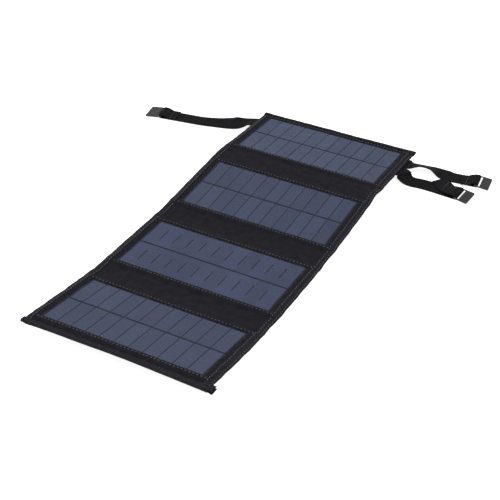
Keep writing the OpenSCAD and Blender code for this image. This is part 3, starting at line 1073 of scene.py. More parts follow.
@dataclass
class SewnStrip:
    """The strip's cloth, tapes, stitching and supply ribbons, one piece to a span."""

    blanket: Blanket
    finishes: Finishes
    grid: float = 1.6 * MM
    inset: float = 1.3 * MM
    cover_t: float = 0.75 * MM
    tape_t: float = 0.5 * MM
    side_pucker: float = 0.35 * MM
    hem_pucker: float = 0.4 * MM
    hem_lap: float = 7.4 * MM
    lap_t: float = 0.45 * MM
    stitch: float = 2.6 * MM
    stitch_step: float = 5.2 * MM
    thread_r: float = 0.33 * MM
    ribbon_x: float = 24.0 * MM
    ribbon_w: float = 4.0 * MM
    ribbon_low: float = 0.9 * MM
    ribbon_high: float = 1.22 * MM
    ribbon_past: float = 44.0 * MM
    tail_w: float = 12.0 * MM

    def spans(self) -> list[Span]:
        """The lengths that the strip is cut into.

        Returns:
            Five spans, from the near end to the far end.
        """
        lay, half = self.blanket, self.blanket.pitch
        fold_43, fold_32, fold_21 = lay.folds
        short, long = 12.0 * MM, 21.0 * MM
        last_cut = 2.0 * half + 20.0 * MM
        return [
            Span("near", lay.near, -half, ("panel_4",), 4),
            Span("4_to_3", -half, 0.0, ("panel_4", "panel_3"), 3, fold_43, short),
            Span("3_to_2", 0.0, half, ("panel_3", "panel_2"), 2, fold_32, long),
            Span("2_to_1", half, last_cut, ("panel_2", "panel_1"), 1, fold_21, short),
            Span("far", last_cut, lay.far, ("panel_1",), 1),
        ]

    def carry(self, piece: Piece, span: Span) -> Piece:
        """Makes a piece ride on its span's body where the span has one; a piece across a fold is baked in
        place and does not bend.

        Args:
            piece: the piece.
            span: the length that it lies in.

        Returns:
            The same piece.
        """
        if len(span.bodies) == 1:
            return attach(piece, span.bodies[0])
        zero = np.zeros(1)
        start = self.blanket.place(zero, zero + span.fold - span.reach, zero)[0]
        end = self.blanket.place(zero, zero + span.fold + span.reach, zero)[0]
        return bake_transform(piece)

    def ends(self, span: Span, inset: float) -> tuple[float, float]:
        """A span's start and end.

        Args:
            span: the length.
            inset: how far it is drawn in at the strip's own ends.

        Returns:
            Two places along the strip.
        """
        lay = self.blanket
        start = span.start + (inset if span.start == lay.near else 0.0)
        end = span.end - (inset if span.end == lay.far else 0.0)
        return start, end

    def front(self, span: Span) -> Piece:
        """The front fabric: the skin's height over a grid, less the windows.

        The grid has lines on every window's edges, and the cloth turns down by
        a rounded lip there.

        Args:
            span: the length to build.

        Returns:
            A closed sheet, 0.7 mm thick.
        """
        lay = self.blanket
        start, end = self.ends(span, self.inset)
        edges = [p.along + side * lay.win_y for p in lay.panels.values() for side in (-1, 1)]
        side = lay.half_w - self.inset
        x = even_lines(-side, -lay.win_x, lay.win_x, side, pitch=self.grid)
        s = even_lines(start, end, *[e for e in edges if start < e < end], pitch=self.grid)
        x, s = np.meshgrid(x, s, indexing="ij")
        away = self.off_window(x, s)
        height = lay.skin(x, s) - 0.35 * MM * (1.0 - ramp(away, 0.0, 1.6 * MM))
        faces = grid_quads(*x.shape)
        middle_x, middle_s = x.ravel()[faces].mean(axis=1), s.ravel()[faces].mean(axis=1)
        faces = faces[self.off_window(middle_x, middle_s) > 0.0]
        points = lay.place(x, s, height).reshape(-1, 3)
        uv = np.stack([x, s], axis=-1).reshape(-1, 2)
        points, faces, uv = drop_unused(points, faces, uv)
        piece = thicken(mesh_piece(f"front_cloth_{span.name}", points, [faces], uv), lay.fabric)
        return finish_piece(piece, self.finishes.cloth)

    def off_window(self, x: Array, s: Array) -> Array:
        """How far strip points lie outside the windows.

        Args:
            x: across.
            s: along the strip.

        Returns:
            Distance outside the nearest window, negative inside it.
        """
        lay = self.blanket
        found = [
            np.maximum(np.abs(x) - lay.win_x, np.abs(s - panel.along) - lay.win_y)
            for panel in lay.panels.values()
        ]
        return np.minimum.reduce(found)

    def back(self, span: Span) -> Piece:
        """The back cover: flat on the ground, stepped up under the edge tapes.

        Args:
            span: the length to build.

        Returns:
            A closed sheet whose face looks down.
        """
        lay = self.blanket
        start, end = self.ends(span, self.inset)
        side = lay.half_w - self.inset
        s, x = np.meshgrid(
            even_lines(start, end, pitch=2.2 * MM), even_lines(-side, side, pitch=2.2 * MM), indexing="ij",
        )
        edge = np.minimum.reduce([lay.half_w - np.abs(x), s - lay.near, lay.far - s])
        under = 1.0 - ramp(edge, lay.tape_w + 0.3 * MM, lay.tape_w + 3.0 * MM)
        loose = ramp(lay.off_board(x, s), 0.0, 12.0 * MM) * (1.0 - under)
        folds = 0.5 + 0.5 * ripples(s, x, ((0.016, 0.6), (0.009, 0.4)), 41)
        height = 0.05 * MM + 0.57 * MM * under + 0.35 * MM * loose * folds
        uv = np.stack([x, s], axis=-1)
        sheet = mesh_piece(f"back_cloth_{span.name}", lay.place(x, s, height), [grid_quads(*x.shape)], uv)
        return finish_piece(thicken(sheet, self.cover_t), self.finishes.cover)

    def tape_section(self, top: Array) -> tuple[Array, Array]:
        """Where a folded tape's face runs, from its inner top edge round to the back.

        The face comes in level, turns half a circle whose diameter is the
        height at the edge, and runs back under.

        Args:
            top: the face's height at the start of the turn, one to a station.

        Returns:
            Distance in from the edge and height. Along the top the height is
            left at nan, for the skin to fill in.
        """
        radius = top / 2.0
        flat = np.linspace(self.blanket.tape_w, 2.0 * MM, 8)[:, None] + 0.0 * top
        turn = np.linspace(math.pi / 2, -math.pi / 2, 9)[:, None]
        inward = radius * (1.0 - np.cos(turn))
        height = radius * (1.0 + np.sin(turn))
        under = np.linspace(2.0 * MM, self.blanket.tape_w - 0.4 * MM, 5)[:, None] + 0.0 * top
        away = np.vstack([flat, inward, under])
        return away, np.vstack([np.full(flat.shape, np.nan), height, 0.0 * under])

    def tape_top(self, x: Array, s: Array, away: Array, pucker: Array) -> Array:
        """Height of a tape's face on the front fabric.

        Args:
            x: across.
            s: along the strip.
            away: distance in from the strip's edge.
            pucker: how strongly the thread draws the tape up, either way.

        Returns:
            The skin's height and the tape's, drawn up most at its inner edge.
        """
        lay = self.blanket
        inner = ramp(away, 0.5 * lay.tape_w, lay.tape_w)
        return lay.skin(x, s) + lay.tape + np.abs(pucker) * (0.25 + 0.5 * inner)

    def side_tape(self, span: Span, side: int) -> Piece:
        """Binding tape folded round one side edge.

        Args:
            span: the length to build.
            side: -1 for the left edge, 1 for the right.

        Returns:
            A closed band that laps onto both faces.
        """
        lay = self.blanket
        start, end = self.ends(span, self.hem_lap)
        s = even_lines(start, end, pitch=1.8 * MM)[None, :]
        edge = lay.skin(side * (lay.half_w - 1.3 * MM) + 0.0 * s, s) + lay.tape
        away, height = self.tape_section(edge)
        pucker = self.side_pucker * ripples(s, away, ((0.0125, 0.6), (0.007, 0.4)), 53 + side)
        x = side * (lay.half_w - away)
        s = s + 0.0 * x
        height = np.where(np.isnan(height), self.tape_top(x, s, away, pucker), height)
        points = lay.place(x, s, height)
        uv = np.stack([away * np.sign(height - MM), s], axis=-1)
        faces = grid_quads(*x.shape)
        faces = faces if side > 0 else faces[:, ::-1]
        name = f"{'left' if side < 0 else 'right'}_tape_{span.name}"
        piece = thicken(mesh_piece(name, points, [faces], uv), self.tape_t)
        return finish_piece(piece, self.finishes.tape)

    def hem(self, near: bool) -> Piece:
        """Binding tape folded round the near or the far edge, over the side tapes.

        Args:
            near: the near edge; otherwise the far one.

        Returns:
            A closed band across the strip.
        """
        lay = self.blanket
        sign, edge_s = (1, lay.near) if near else (-1, lay.far)
        x = even_lines(-lay.half_w - 0.3 * MM, lay.half_w + 0.3 * MM, pitch=1.8 * MM)[None, :]
        over = self.lap_t * ramp(np.abs(x), lay.half_w - 10.5 * MM, lay.half_w - 8.5 * MM)
        edge = lay.skin(x, edge_s + sign * 1.3 * MM + 0.0 * x) + lay.tape + over
        away, height = self.tape_section(edge)
        s = edge_s + sign * away
        x = x + 0.0 * s
        pucker = self.hem_pucker * ripples(x, away, ((0.014, 0.6), (0.0075, 0.4)), 61 if near else 67)
        height = np.where(np.isnan(height), self.tape_top(x, s, away, pucker) + over, height)
        uv = np.stack([away * np.sign(height - MM), x], axis=-1)
        faces = grid_quads(*x.shape)
        faces = faces[:, ::-1] if near else faces
        name = "near_tape" if near else "far_tape"
        piece = thicken(mesh_piece(name, lay.place(x, s, height), [faces], uv), self.tape_t)
        return finish_piece(piece, self.finishes.tape)

    def seam(self, fixed: float, low: float, high: float, across: bool, seed: int) -> Array:
        """Stitches of one straight seam, as strip points.

        Args:
            fixed: the seam's own coordinate: s if it runs across, x if along.
            low: where the seam starts.
            high: where it ends.
            across: whether it runs across the strip.
            seed: for the sewer's unevenness.

        Returns:
            Two ends by n stitches by (x, s).
        """
        draw = np.random.default_rng(seed)
        middle = np.arange(low + self.stitch_step / 2, high, self.stitch_step)
        middle = middle + draw.uniform(-0.2, 0.2, len(middle)) * MM
        half = self.stitch * draw.uniform(0.40, 0.56, len(middle))
        aside = fixed + draw.uniform(-0.12, 0.12, len(middle)) * MM
        ends = [np.stack([middle + way * half, aside], axis=-1) for way in (-1, 1)]
        return np.stack(ends) if across else np.stack(ends)[..., ::-1]

    def stitching(self, span: Span) -> Piece:
        """Every visible stitch of a span: along the tapes, the hems and the windows.

        Args:
            span: the length to sew.

        Returns:
            One piece of short threads.
        """
        lay = self.blanket
        start, end = self.ends(span, 4.0 * MM)
        tape_in = lay.tape_w - 1.5 * MM
        on_tape = [
            self.seam(side * (lay.half_w - away), start, end, False, 71 + side + int(away / MM))
            for side in (-1, 1) for away in (tape_in, 2.4 * MM)
        ]
        room = lay.half_w - lay.tape_w - 1.0 * MM
        on_cloth = [
            self.seam(p.along + way * (lay.win_y + gap), -room, room, True, 79 + p.number + way)
            for p in lay.panels.values() for way, gap in ((-1, 3.2 * MM), (1, 2.8 * MM))
            if start < p.along + way * (lay.win_y + gap) < end
        ]
        for edge, sign in ((lay.near, 1), (lay.far, -1)):
            if start - 5.0 * MM < edge < end + 5.0 * MM:
                on_tape += [
                    self.seam(edge + sign * away, -lay.half_w + 2 * MM, lay.half_w - 2 * MM, True, 97)
                    for away in (tape_in, 2.4 * MM)
                ]
        flat = np.concatenate(on_tape + on_cloth, axis=1)
        lift = np.zeros(flat.shape[1])
        lift[: sum(row.shape[1] for row in on_tape)] = lay.tape + 0.08 * MM
        x, s = flat[..., 0], flat[..., 1]
        starts, ends = lay.place(x, s, lay.skin(x, s) + lift)
        up = lay.outward(x.mean(axis=0), s.mean(axis=0))
        piece = stitch_piece(f"stitching_{span.name}", starts, ends, up, self.thread_r)
        return finish_piece(piece, self.finishes.thread)

    def ribbons(self, span: Span) -> Piece:
        """The two flat supply ribbons between the cover and the boards.

        Args:
            span: the length to build.

        Returns:
            Two thin closed strips of rectangular section.
        """
        lay = self.blanket
        start = max(span.start, -lay.pitch - lay.board_y / 2.0)
        end = min(span.end, lay.folds[2] + self.ribbon_past)
        s = even_lines(start, end, pitch=3.0 * MM)[:, None]
        half = self.ribbon_w / 2.0
        across = np.array([-half, half, half, -half])[None, :]
        low, high = self.ribbon_low, self.ribbon_high
        height = np.array([low, low, high, high])[None, :]
        one = grid_quads(len(s), 4, wrap=True)[:, ::-1]
        last = 4 * (len(s) - 1)
        one = np.vstack([one, [[0, 1, 2, 3]], [[last + 3, last + 2, last + 1, last]]])
        rows = [lay.place(side * self.ribbon_x + across, s, height) for side in (-1, 1)]
        faces = np.vstack([one, one + 4 * len(s)])
        piece = settle(mesh_piece(f"ribbons_{span.name}", np.concatenate(rows), [faces]))
        return finish_piece(piece, self.finishes.copper)

    def loose_tail(self) -> Piece:
        """The binding's loose end at the near right corner: two curled tongues.

        The tape's middle line comes out of the corner low, curls up at its tip,
        returns to the edge and runs out again above, as a C seen from the side.

        Returns:
            A closed band, twice folded.
        """
        lay = self.blanket
        knots = np.array([
            [9.0, 1.4], [6.6, 0.5], [3.4, 0.6], [0.4, 1.0], [-1.0, 2.4], [0.0, 4.0], [2.6, 4.8],
            [5.4, 4.9], [7.6, 5.7],
        ]) * MM
        line = catmull(knots, 5)[:, None, :]
        v = np.linspace(0.0, 1.0, 9)[None, :]
        x = lay.half_w + line[..., 0] * (1.0 - 0.16 * v) + 0.0 * v
        s = lay.near - 0.4 * MM + self.tail_w * v + 0.5 * MM * np.sin(line[..., 0] * 520.0)
        height = 0.4 * MM + line[..., 1] * (1.0 - 0.25 * v)
        run = np.cumsum(np.r_[0.0, np.linalg.norm(np.diff(line[:, 0], axis=0), axis=1)])[:, None]
        uv = np.stack(np.broadcast_arrays(s, run + 0.0 * v), axis=-1)
        band = mesh_piece("binding_end", lay.place(x, s, height), [grid_quads(*x.shape)], uv)
        piece = finish_piece(thicken(band, 0.7 * MM), self.finishes.tape)
        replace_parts(piece, "binding_tail")
        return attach(piece, "panel_4")

    def build(self) -> None:
        lay = self.blanket
        for span in self.spans():
            front, back = self.front(span), self.back(span)
            trims = [self.side_tape(span, -1), self.side_tape(span, 1), self.stitching(span)]
            if span.start < lay.folds[2] and span.end > -lay.pitch - lay.board_y / 2.0:
                trims.append(self.ribbons(span))
            if len(span.bodies) == 1:
                hem = self.hem(span.start == lay.near)
                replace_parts(hem, "near_hem" if span.start == lay.near else "far_hem")
                trims.append(hem)
            for piece in (front, back, *trims):
                self.carry(piece, span)
            if span.name != "far":
                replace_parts(front, f"front_fabric_{span.panel}")
                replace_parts(back, f"back_cover_{span.panel}")
                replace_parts(trims[0], f"side_binding_{span.panel}")
                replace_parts(trims[3], f"supply_ribbons_{span.panel}")
        self.loose_tail()


# -------------------------------------------------------------------- panels


@dataclass
class SolarFaces:
    """What shows in the windows: the boards, the cells and the clear sheets."""

    blanket: Blanket
    finishes: Finishes
    columns: int = 11
    cell_w: float = 19.5 * MM
    cell_h: float = 52.0 * MM
    gap: float = 0.8 * MM
    row_gap: float = 3.0 * MM
    cell_t: float = 0.2 * MM
    dash: float = 0.46
    film: float = 0.45 * MM

    def cell_finish(self, panel: Panel, colour: tuple[float, float, float]) -> bpy.types.Material:
        """One panel's silicon.

        Args:
            panel: the panel that wears it.
            colour: its linear red, green and blue.

        Returns:
            A material that is dashed on panel 3 and lined on the others.
        """
        step = self.cell_w + self.gap
        dashed = panel.number == 3
        return CellFinish(f"silicon_{panel.number}", colour, panel.middle[0], step, dashed).material()

    def dashed_cells(self, panel: Panel) -> Piece:
        """Two rows of silicon whose gaps open only over the middle of each row.

        A flat grid with lines on every gap's sides and ends, without the faces
        that lie in a gap.

        Args:
            panel: the panel that wears them.

        Returns:
            Thin closed plates.
        """
        step = self.cell_w + self.gap
        wide = self.columns * step - self.gap
        gaps = (np.arange(1, self.columns) * step - self.gap / 2.0) - wide / 2.0
        sides = (*(gaps - self.gap / 2.0), *(gaps + self.gap / 2.0))
        x_lines = even_lines(-wide / 2.0, wide / 2.0, *sides, pitch=self.cell_w)
        points, faces, first = [], [], 0
        for row in (-1, 1):
            middle = row * (self.cell_h + self.row_gap) / 2.0
            half, open_half = self.cell_h / 2.0, self.dash * self.cell_h / 2.0
            turns = [middle + reach for reach in (-half, -open_half, open_half, half)]
            s_lines = even_lines(*turns, pitch=self.cell_h)
            x, s = np.meshgrid(x_lines, s_lines, indexing="ij")
            quads = grid_quads(*x.shape)
            centre_x, centre_s = x.ravel()[quads].mean(axis=1), s.ravel()[quads].mean(axis=1)
            in_gap = np.abs(centre_x[:, None] - gaps[None]).min(axis=1) < self.gap / 2.0
            quads = quads[~(in_gap & (np.abs(centre_s - middle) < open_half))]
            height = self.blanket.cover + self.blanket.board + self.cell_t
            points.append(panel.place(x, s + panel.along, height + 0.0 * x).reshape(-1, 3))
            faces.append(quads + first)
            first += x.size
        plates = mesh_piece("solar_cells_dashed", np.concatenate(points), [np.concatenate(faces)])
        return thicken(plates, self.cell_t - 0.01 * MM)

    def clear_sheet(self, panel: Panel, crinkle: float) -> Piece:
        """The laminate: a thin sheet with shallow diagonal crinkles.

        Height is a sum of long ripples along a diagonal, faded out under the
        fabric.

        Args:
            panel: the panel that wears it.
            crinkle: the ripples' height.

        Returns:
            A closed sheet as large as the board.
        """
        lay = self.blanket
        wide, high = lay.board_x - 0.4 * MM, lay.board_y - 0.4 * MM
        x, s = np.meshgrid(
            even_lines(-wide, wide, pitch=1.7 * MM), even_lines(-high, high, pitch=1.7 * MM), indexing="ij",
        )
        inside = np.minimum(lay.win_x - np.abs(x), lay.win_y - np.abs(s))
        slant = 0.86 * x + 0.5 * s
        parts, seed = ((0.0125, 0.5), (0.021, 0.4), (0.0072, 0.25)), 101 + panel.number
        waves = ripples(slant, s - 0.5 * x, parts, seed) - 0.6
        waves = waves * ramp(inside, -1.0 * MM, 3.0 * MM)
        height = lay.top - lay.fabric - 0.03 * MM + crinkle * waves
        points = panel.place(x, s + panel.along, height)
        name = f"clear_sheet_{panel.number}"
        return thicken(mesh_piece(name, points, [grid_quads(*x.shape)]), self.film)

    def build(self) -> None:
        """Builds the sheets and the dashed cells, and dresses boards and cells."""
        shades = {
            1: (0.060, 0.076, 0.133), 2: (0.045, 0.056, 0.111),
            3: (0.046, 0.056, 0.119), 4: (0.051, 0.061, 0.117),
        }
        for number, panel in self.blanket.panels.items():
            silicon = self.cell_finish(panel, shades[number])
            if number == 3:
                cells = finish_piece(self.dashed_cells(panel), silicon)
                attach(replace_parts(cells, "solar_cells_3"), "panel_3")
            else:
                dress(silicon, f"solar_cells_{number}")
            dress(self.finishes.board, f"backing_board_{number}")
            crinkle = (0.11 if number == 1 else 0.05) * MM
            # panel 1 gets stronger pale bands: painted reflection of its more crinkled sheet
            reflection_share = 0.12 if number == 1 else 0.05
            clear = LaminateFinish(f"laminate_{number}", (0.24, 0.27, 0.34), 0.05, reflection_share).material()
            sheet = finish_piece(self.clear_sheet(panel, crinkle), clear)
            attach(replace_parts(sheet, f"front_sheet_{number}"), f"panel_{number}")


# --------------------------------------------------------- pouch and regulator


@dataclass
class Pouch:
    """The cloth pouch under panel 1, its flap, and the regulator inside it."""

    blanket: Blanket
    finishes: Finishes
    cloth_t: float = 0.9 * MM
    flap_t: float = 0.9 * MM
    wall_run: float = 4.5 * MM
    seam_w: float = 5.0 * MM

    def shell(self) -> Piece:
        """The pouch: a tray of cloth whose open end faces the strap end.

        Its depth under the cover is the ground's depth times a ramp of the
        distance in from the three sewn sides, and a flat seam runs round them.

        Returns:
            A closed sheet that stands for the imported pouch.
        """
        low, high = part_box("pouch")
        panel = self.blanket.panels[1]
        half = high.x
        start = panel.along + (low.y - panel.middle[0]) / math.cos(panel.slope)
        end = panel.along + (high.y - panel.middle[0]) / math.cos(panel.slope)
        s, x = np.meshgrid(
            even_lines(start - self.seam_w, start, end, pitch=1.4 * MM),
            even_lines(-half - self.seam_w, -half, half, half + self.seam_w, pitch=1.4 * MM), indexing="ij",
        )
        inside = np.minimum(half - np.abs(x), s - start)
        tucks = ripples(s + x, x, ((0.024, 0.6), (0.013, 0.4)), 131)
        drop = ramp(inside, 0.0, self.wall_run)
        ground = panel.middle[1] + (s - panel.along) * math.sin(panel.slope)
        depth = ground / math.cos(panel.slope) - 0.1 * MM
        worn = 0.35 * MM * (0.5 + 0.5 * tucks) * ramp(inside, 2.0 * MM, 12.0 * MM)
        height = -0.15 * MM - self.cloth_t - drop * (depth - 0.15 * MM - self.cloth_t - worn)
        uv = np.stack([x, s], axis=-1)
        tray = mesh_piece("pouch_cloth", panel.place(x, s, height), [grid_quads(*x.shape)], uv)
        piece = finish_piece(thicken(tray, self.cloth_t), self.finishes.cover)
        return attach(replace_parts(piece, "pouch"), "panel_1")

    def flap(self) -> Piece:
        """The flap over the mouth: it leaves the cover level and hangs to the ground.

        Its middle line is a quarter turn and then a straight fall, and its
        lower edge waves a little.

        Returns:
            A closed sheet that curves from the cover's level down to the ground.
        """
        low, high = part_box("pouch_flap")
        panel = self.blanket.panels[1]
        fall = high.z - low.z
        root = panel.along + ((low.y + high.y) / 2.0 - panel.middle[0]) / math.cos(panel.slope)
        run = np.array([-7.0, -4.5, -2.4, -0.9, 0.0, 0.3, 0.35, 0.3, 0.2]) * MM
        drop = np.array([0.0, 0.0, 0.02, 0.07, 0.16, 0.34, 0.55, 0.78, 1.0]) * (fall - 0.3 * MM)
        line = catmull(np.stack([run, drop], axis=1), 4)
        half = high.x
        x = even_lines(-half, half, pitch=2.0 * MM)[None, :]
        sway = 0.25 * MM * ripples(x, 0 * x, ((0.041, 0.6), (0.019, 0.4)), 137) * line[:, 1:] / fall
        s = root + line[:, :1] + sway
        height = -1.15 * MM - line[:, 1:] + 0.0 * x
        x = x + 0.0 * s
        uv = np.stack([x, s - height], axis=-1)
        sheet = mesh_piece("flap_cloth", panel.place(x, s, height), [grid_quads(*x.shape)], uv)
        piece = finish_piece(thicken(sheet, self.flap_t), self.finishes.cloth)
        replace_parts(piece, "pouch_flap")
        return piece

    def build(self) -> None:
        """Builds the pouch and its flap, and dresses the regulator's own pieces."""
        self.shell()
        flap = self.flap()
        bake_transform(flap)
        looks = self.finishes
        dress(looks.case, "regulator_base", "regulator_lid")
        dress(looks.steel, "usb_sockets", "case_screws", "capacitor")
        dress(looks.ferrite, "choke_coil")
        dress(looks.circuit, "circuit_board")
        dress(looks.lens, "indicator_lens")


# -------------------------------------------------------------------- straps


class Side(Enum):
    """The side of the blanket that a strap leaves, as a sign along x."""

    LEFT = -1
    RIGHT = 1


def hook_bar(body: str) -> tuple[Array, Array]:
    """Where a hook turns.

    Args:
        body: the hook's body in the frame.

    Returns:
        Its bar's middle, and the level way from the strap to the hook.
    """
    found = next(joint for joint in frame["joints"] if joint["child"] == body)
    axis = np.array(found["axis"], float)
    return np.array(found["pos_m"], float), unit(np.array([-axis[1], axis[0], 0.0]))


@dataclass
class Strap:
    """A webbing strap: sewn under panel 1, laid on the ground, turned round its hook's bar.

    Its rows are the run's control points, and its loose end is given as how
    far it lies back over the run and how far it strays sideways.
    """

    name: str
    hook_body: str
    side: Side
    sewn_y: float
    rows: Sequence[tuple[float, float, float, float]]
    loose_end: tuple[float, float]
    blanket: Blanket
    finishes: Finishes
    width: float = 28.0 * MM
    thick: float = 1.5 * MM
    turn_r: float = 2.85 * MM
    sewn_gap: float = 0.5 * MM
    thread_r: float = 0.28 * MM
    sewn_at: tuple[float, ...] = (0.42, 0.62)

    def run_rows(self) -> Array:
        """The strap's control rows: x, y, z and roll of its middle line.

        Three rows lie on panel 1's back; the others are given as millimetres
        out from the blanket's side, along from the sewn end and up, with the
        roll in degrees.

        Returns:
            Rows in metres and radians.
        """
        sign, panel = self.side.value, self.blanket.panels[1]
        back = panel.middle[1] + (self.sewn_y - panel.middle[0]) * math.tan(panel.slope)
        sewn = [
            (sign * (self.blanket.half_w + out * MM), self.sewn_y,
             back - self.sewn_gap - self.thick / 2.0, sign * panel.slope)
            for out in (-26.0, -10.0, 4.0)
        ]
        free = [
            (sign * (self.blanket.half_w + out * MM), self.sewn_y + along * MM, z * MM, math.radians(roll))
            for out, along, z, roll in self.rows
        ]
        return np.array(sewn + free)

    def on_ground(self, rows: Array) -> Array:
        """Rows lifted so that no edge of the webbing goes below the ground."""
        least = self.width / 2.0 * np.abs(np.sin(rows[:, 3])) + self.thick / 2.0 * np.cos(rows[:, 3])
        return np.column_stack([rows[:, :2], np.maximum(rows[:, 2], least), rows[:, 3]])

    def stations(self) -> tuple[Array, Array]:
        """Middle and sideways direction at each station, out to the bar and back.

        The run is a Catmull-Rom line through the rows, the loop is a half
        circle round the bar, and the end lies back over the run.

        Returns:
            Two arrays of points and unit vectors, n by 3.
        """
        rows = self.on_ground(catmull(self.run_rows(), 10))
        ahead = np.gradient(rows[:, :3], axis=0)
        level = unit(np.stack([-ahead[:, 1], ahead[:, 0], 0.0 * ahead[:, 0]], axis=-1))
        roll = rows[:, 3:]
        tilt = level * np.cos(roll) + np.array([0.0, 0.0, 1.0]) * np.sin(roll)
        bar, way = hook_bar(self.hook_body)
        left = np.array([-way[1], way[0], 0.0])
        angle = np.radians(np.arange(-90.0, 91.0, 12.0))[:, None]
        turn = bar + self.turn_r * (way * np.cos(angle) + np.array([0.0, 0.0, 1.0]) * np.sin(angle))
        tail, stray = np.array(self.loose_end) * MM
        t = np.linspace(0.08, 1.0, 16)[:, None]
        ease = np.where(t < 0.5, 2.0 * t * t, 1.0 - 2.0 * (1.0 - t) ** 2)
        rest = self.thick * 1.5 + 0.15 * MM - bar[2]
        drop = self.turn_r + (rest - self.turn_r) * np.minimum(1.0, 1.9 * ease)
        away = way * tail - left * stray
        turned = unit(left + (unit(np.array([-away[1], away[0], 0.0])) - left) * np.minimum(1.0, 2.0 * t))
        over = bar - t * tail * way + stray * t * t * left + np.array([0.0, 0.0, 1.0]) * drop
        points = np.vstack([rows[:, :3], turn, over])
        sides = np.vstack([tilt, np.repeat(left[None], len(turn), axis=0), turned])
        return points, sides

    def band(self) -> Piece:
        """The webbing: a flat section with rounded selvedges, carried along the stations.

        Returns:
            A closed band with coordinates across and along it.
        """
        points, sides = self.stations()
        ahead = unit(np.gradient(points, axis=0))
        up = unit(np.cross(ahead, sides))
        q = np.array([-1.0, -0.985, -0.93, -0.6, -0.2, 0.2, 0.6, 0.93, 0.985, 1.0])
        thin = np.array([0.25, 0.62, 0.96, 1.0, 0.97, 0.97, 1.0, 0.96, 0.62, 0.25])
        across = np.concatenate([q, q[::-1]]) * self.width / 2.0
        rise = np.concatenate([thin, -thin[::-1]]) * self.thick / 2.0
        ring = points[:, None] + sides[:, None] * across[None, :, None] + up[:, None] * rise[None, :, None]
        count = len(across)
        faces = grid_quads(len(points), count, wrap=True)
        last = count * (len(points) - 1)
        run = np.cumsum(np.r_[0.0, np.linalg.norm(np.diff(points, axis=0), axis=1)])
        uv = np.stack(np.broadcast_arrays(across[None, :], run[:, None]), axis=-1)
        cap = np.arange(count)[None]
        piece = settle(mesh_piece(self.name + "_webbing", ring, [faces, cap[:, ::-1], cap + last], uv), 55.0)
        return finish_piece(piece, self.finishes.webbing)

    def sewing(self) -> Piece:
        """Two rows of thread across the strap that close its loop.

        Returns:
            The stitches.
        """
        bar, way = hook_bar(self.hook_body)
        tail, stray = np.array(self.loose_end) * MM
        left = np.array([-way[1], way[0], 0.0])
        places = []
        for share in self.sewn_at:
            middle = bar - share * tail * way + stray * share * share * left
            middle = middle * np.array([1.0, 1.0, 0.0]) + np.array([0.0, 0.0, 2.0 * self.thick + 0.25 * MM])
            q = np.arange(-0.42, 0.43, 0.12)[:, None] * self.width
            places.append(middle + q * left)
        centre = np.vstack(places)
        up = np.repeat([[0.0, 0.0, 1.0]], len(centre), axis=0)
        starts, ends = centre - left * MM, centre + left * MM
        piece = stitch_piece(self.name + "_sewing", starts, ends, up, self.thread_r)
        return finish_piece(piece, self.finishes.thread)

    def build(self) -> None:
        """Builds the webbing and its stitches on panel 1's body."""
        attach(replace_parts(self.band(), self.name), "panel_1")
        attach(self.sewing(), "panel_1")


def raised(rows: Array, heights: Array) -> Array:
    """Flat rows of points, each lifted to its own height.

    Args:
        rows: rows by points by 2.
        heights: one to a row.

    Returns:
        Rows by points by 3.
    """
    lifted = np.broadcast_to(heights[:, None, None], (*rows.shape[:2], 1))
    return np.concatenate([rows, lifted], axis=-1)


